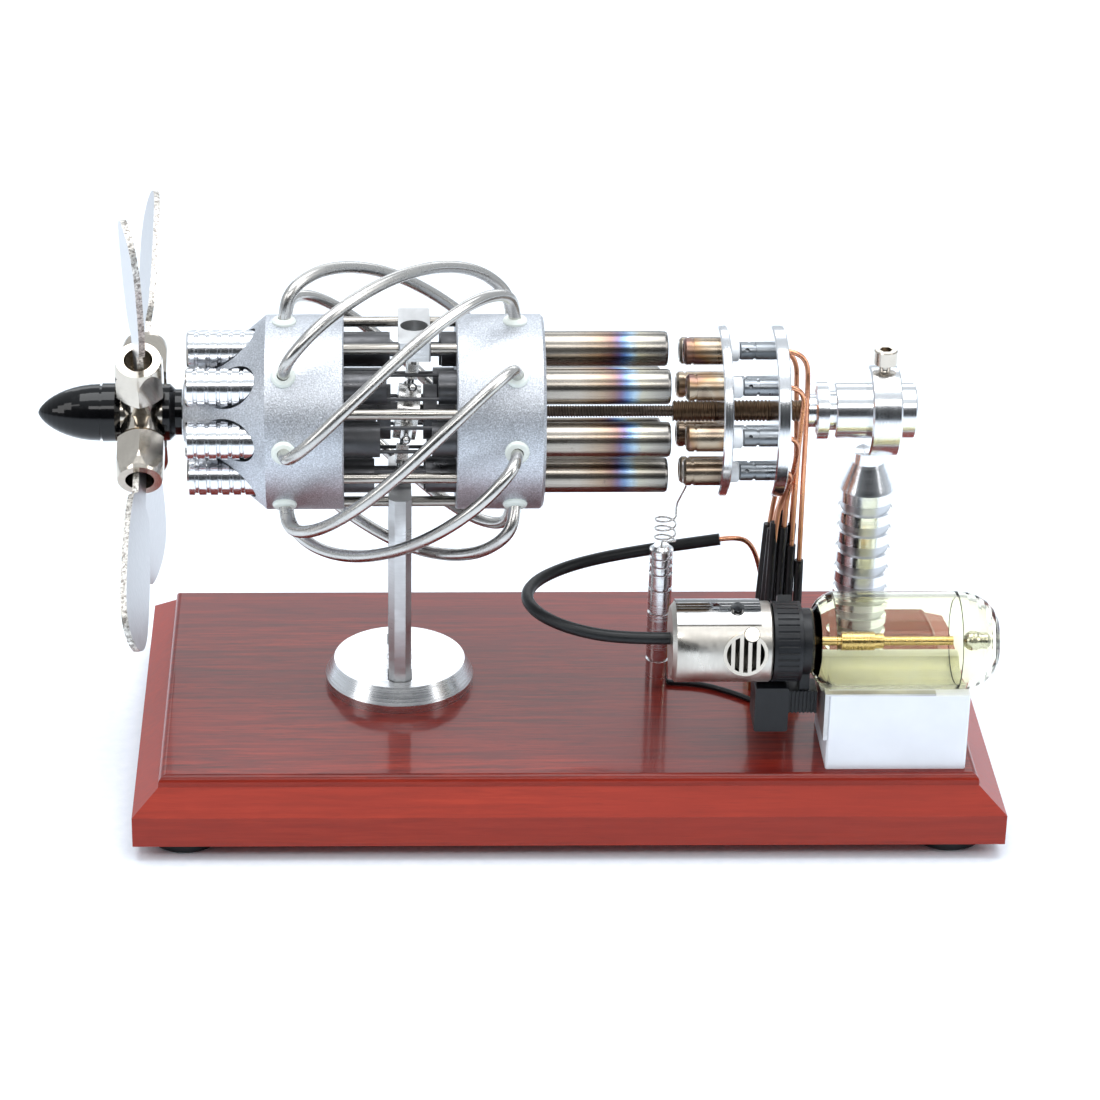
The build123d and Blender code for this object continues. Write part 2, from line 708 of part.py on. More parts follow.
def make_prop_nuts():
    """Hexagon nuts with a domed mouth that grip the blade roots."""
    corner = NUT_FLATS / math.sqrt(3)
    dome_start = 19.6
    mouth_radius = 6.4
    hole_radius = 4.15
    hexagon = Pos(HUB_X, 0, AXIS_HEIGHT + NUT_START) * Rot(0, 0, 30)
    nut = hexagon * extrude(RegularPolygon(corner, 6), NUT_END - NUT_START)
    trim = turned_z(
        [
            (0, AXIS_HEIGHT + NUT_START),
            (corner * 0.87, AXIS_HEIGHT + NUT_START),
            (corner, AXIS_HEIGHT + NUT_START + 0.8),
            (corner, AXIS_HEIGHT + dome_start - 0.6),
            (corner * 0.96, AXIS_HEIGHT + dome_start + 1.4),
            (mouth_radius + 0.4, AXIS_HEIGHT + NUT_END - 1.2),
            (mouth_radius, AXIS_HEIGHT + NUT_END),
            (0, AXIS_HEIGHT + NUT_END),
        ],
        HUB_X,
        0,
    )
    nut = nut & trim
    nut -= upright(hole_radius, AXIS_HEIGHT + 16.0, AXIS_HEIGHT + NUT_END, HUB_X, 0)
    nut -= upright(5.2, AXIS_HEIGHT + NUT_START, AXIS_HEIGHT + 16.0, HUB_X, 0)
    return solids_of([around(nut, angle) for angle in BLADE_ANGLES])


def blade_outline():
    """Half-outline points of a blade: distance from the axis and chord half-width."""
    return [
        (16.0, 3.3),
        (31.0, 3.3),
        (34.0, 6.8),
        (42.0, 8.8),
        (54.0, 9.9),
        (66.0, 10.0),
        (74.5, 8.8),
        (79.0, 6.0),
    ]


def make_prop_blades():
    """Flat plate blades with a narrow root tab and a round tip."""
    half = blade_outline()
    right = [(width, distance) for distance, width in half]
    left = [(-width, distance) for distance, width in reversed(half)]
    root_right = Polyline(*right[:3])
    side_right = Spline(*right[2:], (0, BLADE_RADIUS), *left[:-2])
    root_left = Polyline(*left[-3:])
    bottom = Line(left[-1], right[0])
    face = make_face(Curve() + [root_right, side_right, root_left, bottom])
    plate = extrude(Plane.YZ * face, BLADE_THICKNESS / 2, both=True)
    plate = plate.rotate(Axis.Z, BLADE_PITCH)
    plate = Pos(HUB_X, 0, AXIS_HEIGHT) * plate
    return solids_of([around(plate, angle) for angle in BLADE_ANGLES])


def make_rotor_collar():
    """Black collar between the hub and the front casing."""
    collar = turned_x(
        [(-116.4, 0), (-116.4, 8.3), (-114.4, 8.3), (-112.8, 6.7), (-110.9, 6.7), (-110.9, 0)]
    )
    return collar - rod(SHAFT_RADIUS, -116.4, -110.9)


# ---------------------------------------------------------------- burner
def make_center_rod():
    """Threaded rod between the engine and the burner."""
    return rod(CENTER_ROD_RADIUS, -20.0, SLEEVE_X[0] + 8.0)


def make_burner_sleeve():
    """Thick threaded sleeve that carries the two burner discs."""
    return rod(SLEEVE_RADIUS, *SLEEVE_X) - rod(CENTER_ROD_RADIUS, SLEEVE_X[0], SLEEVE_X[0] + 8.0)


def make_burner_disc(x_range, hole_radius):
    """Disc bored for eight burner pieces and the sleeve."""
    start, end = x_range
    disc = turned_x(
        [
            (start, 0),
            (start, BURNER_DISC_RADIUS - 0.4),
            (start + 0.4, BURNER_DISC_RADIUS),
            (end - 0.4, BURNER_DISC_RADIUS),
            (end, BURNER_DISC_RADIUS - 0.4),
            (end, 0),
        ]
    )
    disc -= rod(SLEEVE_RADIUS, start, end)
    for angle in ANGLES:
        y, z = on_circle(BURNER_CIRCLE, angle)
        disc -= rod(hole_radius, start, end, y, z)
    return disc


def make_burner_nozzles():
    """Open burner cups with a rounded rim, and a spigot through the front disc."""
    start, end = NOZZLE_X
    rim = 0.7
    cup = turned_x(
        [
            (start, 2.3),
            (start, NOZZLE_RADIUS - rim),
            (start + rim, NOZZLE_RADIUS),
            (start + 2.2, NOZZLE_RADIUS),
            (start + 2.2, NOZZLE_RADIUS - 0.35),
            (start + 2.9, NOZZLE_RADIUS - 0.35),
            (start + 2.9, NOZZLE_RADIUS),
            (end, NOZZLE_RADIUS),
            (end, 2.4),
            (FRONT_DISC_X[1], 2.4),
            (FRONT_DISC_X[1], 0.7),
            (end - 1.5, 0.7),
            (end - 1.5, 2.3),
        ]
    )
    return solids_of([place_on_circle(cup, angle, BURNER_CIRCLE) for angle in ANGLES])


def make_nozzle_bushes():
    """White insulating bushes behind the front disc."""
    start, end = WHITE_BUSH_X
    bush = turned_x([(start, 0.7), (start, 3.0), (end - 0.4, 3.0), (end, 2.6), (end, 0.7)])
    return solids_of([place_on_circle(bush, angle, BURNER_CIRCLE) for angle in ANGLES])


def make_gas_jets():
    """Steel jets with a waist, each with an air hole and a spigot through the rear disc."""
    start, end = JET_X
    jet = turned_x(
        [
            (start, 0.7),
            (start, 2.0),
            (start + 0.5, 2.5),
            (start + 4.0, 2.5),
            (start + 4.0, 2.1),
            (start + 4.8, 2.1),
            (start + 4.8, 2.5),
            (end, 2.5),
            (end, 1.6),
            (REAR_DISC_X[1], 1.6),
            (REAR_DISC_X[1], 1.0),
            (end - 1.0, 1.0),
            (end - 1.0, 0.7),
        ]
    )
    air_hole = upright(0.6, AXIS_HEIGHT + 0.7, AXIS_HEIGHT + 3.0, start + 2.2, 0)
    jet -= air_hole.rotate(Axis((0, 0, AXIS_HEIGHT), (1, 0, 0)), 60)
    return solids_of([place_on_circle(jet, angle, BURNER_CIRCLE) for angle in ANGLES])


def pipe_routes():
    """Routes of the eight copper gas pipes, from the rear disc down to the manifold, by angle."""
    routes = {}
    for angle, runs in PIPE_RUNS.items():
        y, z = on_circle(BURNER_CIRCLE, angle)
        routes[angle] = [(REAR_DISC_X[1] - 1.0, y, z), (runs[0][0], y, z)] + runs[1:]
    return routes


def make_copper_pipes():
    """Eight thin copper pipes and the feed pipe from the hose to the manifold."""
    routes = list(pipe_routes().values()) + [FEED_ROUTE]
    pipes = [bent_tube(route, PIPE_RADIUS, largest=PIPE_BEND_RADIUS)[0] for route in routes]
    return solids_of(pipes)


def straight_bar(radius, start, end):
    """Solid cylinder between two points."""
    run = Vector(*end) - Vector(*start)
    return extrude(Plane(origin=start, z_dir=run) * Circle(radius), run.length)


def make_pipe_sleeves():
    """Black insulating sleeves round the last straight run of the pipes."""
    foot_gap = 0.15
    sleeves = []
    for angle, route in pipe_routes().items():
        above, below = (Vector(*point) for point in route[-2:])
        run = above - below
        foot, top = (
            tuple(below + run * ((level - below.Z) / run.Z))
            for level in (MANIFOLD_TOP + foot_gap, PIPE_SLEEVE_TOPS[angle])
        )
        bore = straight_bar(PIPE_RADIUS + RUNNING_CLEARANCE, foot, top)
        sleeves.append(straight_bar(PIPE_SLEEVE_RADIUS, foot, top) - bore)
    return solids_of(sleeves)


def make_gas_manifold():
    """Brass block on the board that shares the gas between the pipes."""
    return block((56.0, 71.5), (-8.0, 5.0), (BOARD_TOP, MANIFOLD_TOP))


# ---------------------------------------------------------------- rear support
def make_rear_shaft():
    """Turned end shaft with two rings and a groove."""
    return turned_x(
        [
            (SLEEVE_X[1], 0),
            (SLEEVE_X[1], 4.9),
            (71.9, 4.9),
            (71.9, 6.4),
            (72.4, 8.4),
            (75.6, 8.4),
            (75.6, 5.8),
            (77.6, 5.8),
            (77.6, REAR_SHAFT_RADIUS - 0.4),
            (78.0, REAR_SHAFT_RADIUS),
            (REAR_SHAFT_END_X - 0.5, REAR_SHAFT_RADIUS),
            (REAR_SHAFT_END_X, REAR_SHAFT_RADIUS - 0.5),
            (REAR_SHAFT_END_X, 5.6),
            (REAR_SHAFT_END_X - 0.8, 5.2),
            (REAR_SHAFT_END_X - 0.8, 0),
        ]
    )


def make_clamp_ring():
    """Ring that holds the rear shaft, with a set-screw hole at the top."""
    start, end = CLAMP_X
    edge = 0.5
    ring = turned_x(
        [
            (start, REAR_SHAFT_RADIUS),
            (start, CLAMP_RADIUS - edge),
            (start + edge, CLAMP_RADIUS),
            (end - edge, CLAMP_RADIUS),
            (end, CLAMP_RADIUS - edge),
            (end, REAR_SHAFT_RADIUS),
        ]
    )
    middle = (start + end) / 2
    return ring - upright(1.7, AXIS_HEIGHT + REAR_SHAFT_RADIUS - 1, AXIS_HEIGHT + CLAMP_RADIUS + 1, middle, 0)


def socket_screw(head_radius, shank_radius, head_height, shank_length):
    """Socket-head screw along +Z with its head on the XY plane."""
    screw = Cylinder(head_radius, head_height, align=(Align.CENTER, Align.CENTER, Align.MIN))
    screw = chamfer(screw.edges().group_by(Axis.Z)[-1], head_radius * 0.1)
    shank = Cylinder(shank_radius, shank_length, align=(Align.CENTER, Align.CENTER, Align.MAX))
    socket = extrude(RegularPolygon(head_radius * 0.55, 6), head_height * 0.6)
    return screw + shank - Pos(0, 0, head_height * 0.4) * socket


def torch_direction(angle):
    """Placement on the torch barrel whose Z points out at an angle above -Y."""
    return Pos(0, TORCH_Y, TORCH_Z) * Rot(90 - angle, 0, 0)


def make_socket_screws():
    """Clamp-ring screw and the screw beside the torch grille."""
    clamp_head = AXIS_HEIGHT + CLAMP_RADIUS + 1.8
    shank_length = clamp_head - AXIS_HEIGHT - REAR_SHAFT_RADIUS
    clamp_screw = Pos(sum(CLAMP_X) / 2, 0, clamp_head) * socket_screw(3.4, 1.7, 4.2, shank_length)
    torch_place = torch_direction(TORCH_SCREW_ANGLE) * Pos(TORCH_SCREW_X, 0, BARREL_RADIUS)
    torch_screw = torch_place * socket_screw(2.2, 0.9, 1.0, 1.2)
    return solids_of([clamp_screw, torch_screw])


def make_rear_post():
    """Turned post with a conical head and square grooves."""
    neck_top = AXIS_HEIGHT - CLAMP_RADIUS + 0.9
    cone_bottom = 87.3
    groove_pitch = 6.6
    groove_width = 3.0
    groove_depth = 0.8
    profile = [(0, neck_top), (4.2, neck_top), (4.6, 95.6), (REAR_POST_RADIUS - 0.3, cone_bottom + 0.8)]
    profile.append((REAR_POST_RADIUS, cone_bottom))
    level = cone_bottom - 3.4
    while level - groove_width > BOARD_TOP + 2.0:
        profile += [
            (REAR_POST_RADIUS, level),
            (REAR_POST_RADIUS - groove_depth, level - 0.3),
            (REAR_POST_RADIUS - groove_depth, level - groove_width),
            (REAR_POST_RADIUS, level - groove_width - 0.3),
        ]
        level -= groove_pitch
    profile += [(REAR_POST_RADIUS, BOARD_TOP), (0, BOARD_TOP)]
    post = turned_z(profile, REAR_POST_X, 0)
    return post - rod(CLAMP_RADIUS, CLAMP_X[0] - 3, CLAMP_X[1] + 3)


# ---------------------------------------------------------------- ignition
def make_ignition_post():
    """Slender turned post with rings."""
    radius = 3.5
    profile = [(0, IGNITION_TOP), (radius - 1.2, IGNITION_TOP), (radius - 0.6, IGNITION_TOP - 0.8)]
    level = IGNITION_TOP - 0.8
    ring_steps = [2.6, 2.6, 2.6, 5.2, 7.8, 7.8, 7.8]
    for step in ring_steps:
        profile += [
            (radius, level - 0.3),
            (radius, level - step + 0.8),
            (radius - 0.5, level - step + 0.6),
            (radius - 0.5, level - step),
        ]
        level -= step
    profile += [(radius, level - 0.3), (radius, BOARD_TOP), (0, BOARD_TOP)]
    return turned_z(profile, IGNITION_X, IGNITION_Y)


def make_electrode_spring():
    """Spark wire: a loose coil on top of the post and a straight end up to a burner."""
    wire = 0.3
    coil_radius = 3.0
    turn_gap = 2.9
    turns = 3
    center_x = IGNITION_X + 0.9
    bottom = IGNITION_TOP + 1.2
    helix = Pos(center_x, IGNITION_Y, bottom) * Helix(turn_gap, turns * turn_gap, coil_radius)
    coil = sweep(Plane(origin=helix @ 0, z_dir=helix % 0) * Circle(wire), path=helix, is_frenet=True)
    joint_x = center_x + coil_radius
    top = bottom + turns * turn_gap
    stem_top = (35.2, IGNITION_Y - 2.5, 90.0)
    stem_route = [(joint_x, IGNITION_Y, top), (joint_x, IGNITION_Y, top + 3.5), stem_top]
    root_route = [
        (joint_x, IGNITION_Y, bottom),
        (IGNITION_X, IGNITION_Y, bottom),
        (IGNITION_X, IGNITION_Y, IGNITION_TOP),
    ]
    stem = bent_tube(stem_route, wire)[0]
    root = bent_tube(root_route, wire)[0]
    return solids_of([coil, stem, root])


def make_ignition_wire():
    """Insulated wire from the foot of the post to the igniter."""
    return bent_tube(IGNITION_WIRE_ROUTE, 0.8)[0]


# ---------------------------------------------------------------- torch
def make_torch_barrel():
    """Hollow barrel with a bevelled end, a hose socket and a round window."""
    start, end = BARREL_X
    wall = 1.3
    barrel = turned_x(
        [
            (start, 0),
            (start, BARREL_RADIUS - 1.4),
            (start + 1.2, BARREL_RADIUS),
            (end - 0.6, BARREL_RADIUS),
            (end, BARREL_RADIUS - 0.6),
            (end, NECK_RADIUS),
            (end - 2.0, NECK_RADIUS),
            (end - 2.0, BARREL_RADIUS - wall),
            (start + 2.0, BARREL_RADIUS - wall),
            (start + 2.0, 0),
        ],
        TORCH_Y,
        TORCH_Z,
    )
    window = Cylinder(GRILLE_RADIUS, 6.0, align=(Align.CENTER, Align.CENTER, Align.MIN))
    window = torch_direction(GRILLE_ANGLE) * Pos(GRILLE_X, 0, BARREL_RADIUS - 4.0) * window
    screw_hole = Cylinder(0.9, 4.0, align=(Align.CENTER, Align.CENTER, Align.CENTER))
    screw_hole = torch_direction(TORCH_SCREW_ANGLE) * Pos(TORCH_SCREW_X, 0, BARREL_RADIUS) * screw_hole
    return barrel - window - screw_hole


def make_torch_cover():
    """Mirror-bright cover over the top of the barrel."""
    start, end = 30.2, 54.2
    outer = rod(BARREL_RADIUS + 0.6, start, end, TORCH_Y, TORCH_Z)
    inner = rod(BARREL_RADIUS, start, end, TORCH_Y, TORCH_Z)
    reach = 30.0
    keep = block((start, end), (-reach, reach), (0, reach))
    keep = Pos(0, TORCH_Y, TORCH_Z) * Rot(-10, 0, 0) * Pos(0, 0, 8.0) * keep
    cover = (outer - inner) & keep
    tab = Cylinder(1.9, 2.0, align=(Align.CENTER, Align.CENTER, Align.MIN))
    tab = torch_direction(76) * Pos(47.6, 0, BARREL_RADIUS - 0.4) * tab
    return cover + (tab - inner)


def make_torch_grille():
    """Round vent with four upright bars."""
    depth = 2.2
    ring = Cylinder(GRILLE_RADIUS, depth, align=(Align.CENTER, Align.CENTER, Align.MIN))
    grille = ring - Cylinder(GRILLE_RADIUS - 1.0, depth, align=(Align.CENTER, Align.CENTER, Align.MIN))
    bar_pitch = 2.4
    for index in range(4):
        offset = (index - 1.5) * bar_pitch
        bar = Pos(offset, 0, depth / 2) * Box(1.1, 2 * GRILLE_RADIUS, depth)
        grille += bar & ring
    grille = torch_direction(GRILLE_ANGLE) * Pos(GRILLE_X, 0, BARREL_RADIUS - depth - 0.3) * grille
    screw_room = Cylinder(2.3, 6.0)
    return grille - torch_direction(TORCH_SCREW_ANGLE) * Pos(TORCH_SCREW_X, 0, BARREL_RADIUS) * screw_room


def make_torch_neck():
    """Black valve body through the adjuster ring, with a flange at the tank."""
    start, end = BARREL_X[1] - 2.0, TANK_X[0]
    gap = 0.3
    return turned_x(
        [
            (start, 1.3),
            (start, NECK_RADIUS),
            (RING_X[1] + gap, NECK_RADIUS),
            (RING_X[1] + gap, NECK_RADIUS + 1.6),
            (end - 0.6, NECK_RADIUS + 1.6),
            (end, NECK_RADIUS + 1.0),
            (end, 1.3),
        ],
        TORCH_Y,
        TORCH_Z,
    )


def make_adjuster_ring():
    """Ribbed flame adjuster that turns on the neck."""
    start, end = RING_X
    notch_count = 36
    notch_radius = 0.45
    ring = rod(RING_RADIUS, start, end, TORCH_Y, TORCH_Z)
    notch = rod(notch_radius, start + 1.0, end - 1.0, TORCH_Y, TORCH_Z + RING_RADIUS + 0.1)
    center = Axis((0, TORCH_Y, TORCH_Z), (1, 0, 0))
    ring -= [notch.rotate(center, index * 360 / notch_count) for index in range(notch_count)]
    ring -= rod(NECK_RADIUS + RING_CLEARANCE, start, end, TORCH_Y, TORCH_Z)
    lever = block((start + 2.0, end - 2.0), (-1.5, 1.5), (RING_RADIUS - 1.0, RING_RADIUS + 1.8))
    lever = Pos(0, TORCH_Y, TORCH_Z) * Rot(-40, 0, 0) * lever
    return ring + lever


def make_fuel_tank():
    """Clear tank: a hollow cylinder with a rounded shoulder."""
    start, end = TANK_X
    inner = TANK_RADIUS - TANK_WALL
    return turned_x(
        [
            (start, 1.3),
            (start, 9.4),
            (start + 1.6, 11.8),
            (start + 3.6, 13.4),
            (start + 5.8, TANK_RADIUS),
            (end, TANK_RADIUS),
            (end, inner),
            (start + 5.8, inner),
            (start + 2.2, 10.2),
            (start + 2.2, 1.3),
        ],
        TORCH_Y,
        TORCH_Z,
    )


def make_tank_cap():
    """Clear bullet-shaped end of the tank."""
    start = TANK_X[1]
    length = CAP_END_X - start
    nose_radius = 5.0
    points = []
    for index in range(7):
        turn = math.radians(15 * index)
        radius = nose_radius + (TANK_RADIUS - nose_radius) * math.cos(turn)
        points.append((start + length * math.sin(turn), radius))
    inner_points = [(start + (x - start) * 0.84, radius - TANK_WALL) for x, radius in reversed(points)]
    valve_radius = 2.4
    profile = points + [(CAP_END_X, valve_radius), (inner_points[0][0], valve_radius)] + inner_points
    return turned_x(profile, TORCH_Y, TORCH_Z)


def make_fill_valve():
    """Steel filling valve in the nose of the cap, with its ball."""
    ball_x = 115.8
    ball_radius = 2.9
    valve_radius = 2.4
    profile = []
    for index in range(9):
        turn = math.radians(15 * index)
        profile.append((ball_x - ball_radius * math.cos(turn), ball_radius * math.sin(turn)))
    profile += [
        (119.0, valve_radius),
        (CAP_END_X, valve_radius),
        (CAP_END_X, 1.0),
        (CAP_END_X - 1.5, 1.0),
        (CAP_END_X - 1.5, 0.0),
    ]
    return turned_x(profile, TORCH_Y, TORCH_Z)


def make_brass_stem():
    """Brass feed stem from the valve body through the tank."""
    return turned_x(
        [
            (BARREL_X[1] - 2.0, 0),
            (BARREL_X[1] - 2.0, 1.3),
            (78.0, 1.3),
            (78.0, 2.7),
            (87.4, 2.7),
            (87.4, 2.2),
            (90.0, 2.2),
            (90.0, 1.3),
            (110.0, 1.3),
            (110.0, 0),
        ],
        TORCH_Y,
        TORCH_Z,
    )


def make_piezo_guide():
    """Ribbed black igniter body under the neck."""
    start, end = PIEZO_X
    y_range = (TORCH_Y - 4.0, TORCH_Y + 4.0)
    guide = block((start, end), y_range, PIEZO_Z)
    rib_pitch = 1.1
    groove = 0.5
    for index in range(8):
        left = start + 0.5 + index * rib_pitch
        cut = block((left, left + groove), (y_range[0], y_range[0] + groove), PIEZO_Z)
        guide -= cut
    flange_radius = NECK_RADIUS + 1.6
    link_x = (RING_X[1] + 0.4, TANK_X[0] - 0.2)
    link = block(link_x, (TORCH_Y - 3.0, TORCH_Y + 3.0), (PIEZO_Z[1], TORCH_Z - flange_radius + 0.6))
    link -= rod(flange_radius, *link_x, TORCH_Y, TORCH_Z)
    return guide + link


def make_torch_trigger():
    """Trigger block that slides over the igniter body."""
    trigger = block(TRIGGER_X, (TORCH_Y - 6.0, TORCH_Y + 6.0), TRIGGER_Z)
    trigger = fillet(trigger.edges().filter_by(Axis.Y), 0.8)
    gap = 0.3
    pocket = block(
        (TRIGGER_X[1] - 4.8, TRIGGER_X[1]),
        (TORCH_Y - 4.0 - gap, TORCH_Y + 4.0 + gap),
        (PIEZO_Z[0] - gap, PIEZO_Z[1] + gap),
    )
    return trigger - pocket


def make_tank_bracket():
    """Sheet bracket at the end of the cradle, with a strip along its top."""
    sheet = 1.2
    x = CRADLE_X[0]
    plate = block((x - sheet, x), (CRADLE_Y[0], CRADLE_Y[0] + 20.0), (33.0, CRADLE_TOP + 0.6))
    strip = block((x, 104.0), (CRADLE_Y[0], CRADLE_Y[0] + 2.4), (CRADLE_TOP, CRADLE_TOP + 0.6))
    tank_room = rod(TANK_RADIUS + 0.05, x - sheet, 104.0, TORCH_Y, TORCH_Z)
    return plate + strip - tank_room


def make_cradle_block():
    """White block with a round saddle for the tank."""
    cradle = block(CRADLE_X, CRADLE_Y, (BOARD_TOP, CRADLE_TOP))
    cradle = chamfer(cradle.edges().filter_by(Axis.Z), 0.5)
    return cradle - rod(TANK_RADIUS, CRADLE_X[0], CRADLE_X[1], TORCH_Y, TORCH_Z)


def make_gas_hose():
    """Stiff rubber hose looping in the air from the torch to the feed pipe."""
    hose, length, radii = bent_tube(HOSE_ROUTE, HOSE_RADIUS)
    section = math.pi * HOSE_RADIUS**2
    print(f"gas hose: length {length:.1f} volume ratio {hose.volume / (section * length):.4f}")
    print("gas hose radii:", [round(radius, 1) for radius in radii])
    return hose


# ---------------------------------------------------------------- write the nodes
os.makedirs("parts", exist_ok=True)

NODES = {
    "base_board": make_base_board,
    "rubber_feet": make_rubber_feet,
    "foot_screws": make_foot_screws,
    "stand_disc": make_stand_disc,
    "front_post": make_post,
    "top_block": make_top_block,
    "front_housing": make_front_housing,
    "rear_housing": make_rear_housing,
    "shaft_bushes": make_shaft_bushes,
    "tie_rods": make_tie_rods,
    "power_cylinders": make_power_cylinders,
    "hot_cylinders": make_hot_cylinders,
    "transfer_tubes": make_transfer_tubes,
    "tube_seals": make_tube_seals,
    "crankshaft": make_crankshaft,
    "wobble_plate": make_wobble_plate,
    "spinner": make_spinner,
    "prop_hub": make_prop_hub,
    "prop_nuts": make_prop_nuts,
    "prop_blades": make_prop_blades,
    "rotor_collar": make_rotor_collar,
    "center_rod": make_center_rod,
    "burner_sleeve": make_burner_sleeve,
    "burner_nozzles": make_burner_nozzles,
    "nozzle_bushes": make_nozzle_bushes,
    "gas_jets": make_gas_jets,
    "copper_pipes": make_copper_pipes,
    "pipe_sleeves": make_pipe_sleeves,
    "gas_manifold": make_gas_manifold,
    "rear_shaft": make_rear_shaft,
    "clamp_ring": make_clamp_ring,
    "socket_screws": make_socket_screws,
    "rear_post": make_rear_post,
    "ignition_post": make_ignition_post,
    "electrode_spring": make_electrode_spring,
    "ignition_wire": make_ignition_wire,
    "torch_barrel": make_torch_barrel,
    "torch_cover": make_torch_cover,
    "torch_grille": make_torch_grille,
    "torch_neck": make_torch_neck,
    "adjuster_ring": make_adjuster_ring,
    "fuel_tank": make_fuel_tank,
    "tank_cap": make_tank_cap,
    "fill_valve": make_fill_valve,
    "brass_stem": make_brass_stem,
    "piezo_guide": make_piezo_guide,
    "torch_trigger": make_torch_trigger,
    "tank_bracket": make_tank_bracket,
    "cradle_block": make_cradle_block,
    "gas_hose": make_gas_hose,
}

for node_name, make_node in NODES.items():
    write(node_name, make_node())

write("burner_front_disc", make_burner_disc(FRONT_DISC_X, 2.4))
write("burner_rear_disc", make_burner_disc(REAR_DISC_X, 1.6))

for piston_index, piston_angle in enumerate(ANGLES):
    write(f"piston_set_{piston_index + 1}", make_piston_set(piston_angle))
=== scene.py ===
"""Looks of the hot-air engine model: materials, smooth pieces, light and camera, in metres."""
import math

import bmesh
import bpy
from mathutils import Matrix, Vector


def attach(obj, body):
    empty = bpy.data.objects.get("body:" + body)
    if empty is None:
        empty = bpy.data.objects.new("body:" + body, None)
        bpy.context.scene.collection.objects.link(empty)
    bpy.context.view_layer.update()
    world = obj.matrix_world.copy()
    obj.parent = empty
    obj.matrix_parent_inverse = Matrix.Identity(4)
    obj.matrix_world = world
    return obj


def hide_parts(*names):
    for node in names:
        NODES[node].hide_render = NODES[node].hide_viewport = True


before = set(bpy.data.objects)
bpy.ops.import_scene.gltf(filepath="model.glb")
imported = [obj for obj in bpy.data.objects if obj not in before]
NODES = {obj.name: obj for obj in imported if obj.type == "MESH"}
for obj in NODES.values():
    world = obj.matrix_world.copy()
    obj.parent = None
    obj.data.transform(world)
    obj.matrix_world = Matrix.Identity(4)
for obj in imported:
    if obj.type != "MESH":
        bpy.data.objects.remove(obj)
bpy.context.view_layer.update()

MM = 0.001
AXIS_Z = 0.1116
CYLINDERS = 8
ANGLES = [360.0 / CYLINDERS * index for index in range(CYLINDERS)]
CREASE_DEGREES = 30.0
TURNING_SCALE = 2400


# ---------------------------------------------------------------- camera
def make_camera():
    """Long lens in front of the engine, looking down on it."""
    data = bpy.data.cameras.new("camera")
    data.sensor_width = 36.0
    data.lens = 118.67
    data.shift_x = 0.15
    data.clip_start = 0.01
    data.clip_end = 30.0
    camera = bpy.data.objects.new("camera", data)
    camera.location = (-0.058, -0.957, 0.545)
    camera.rotation_euler = (math.radians(63.45), 0.0, math.radians(-0.34))
    bpy.context.scene.collection.objects.link(camera)
    bpy.context.scene.camera = camera


make_camera()


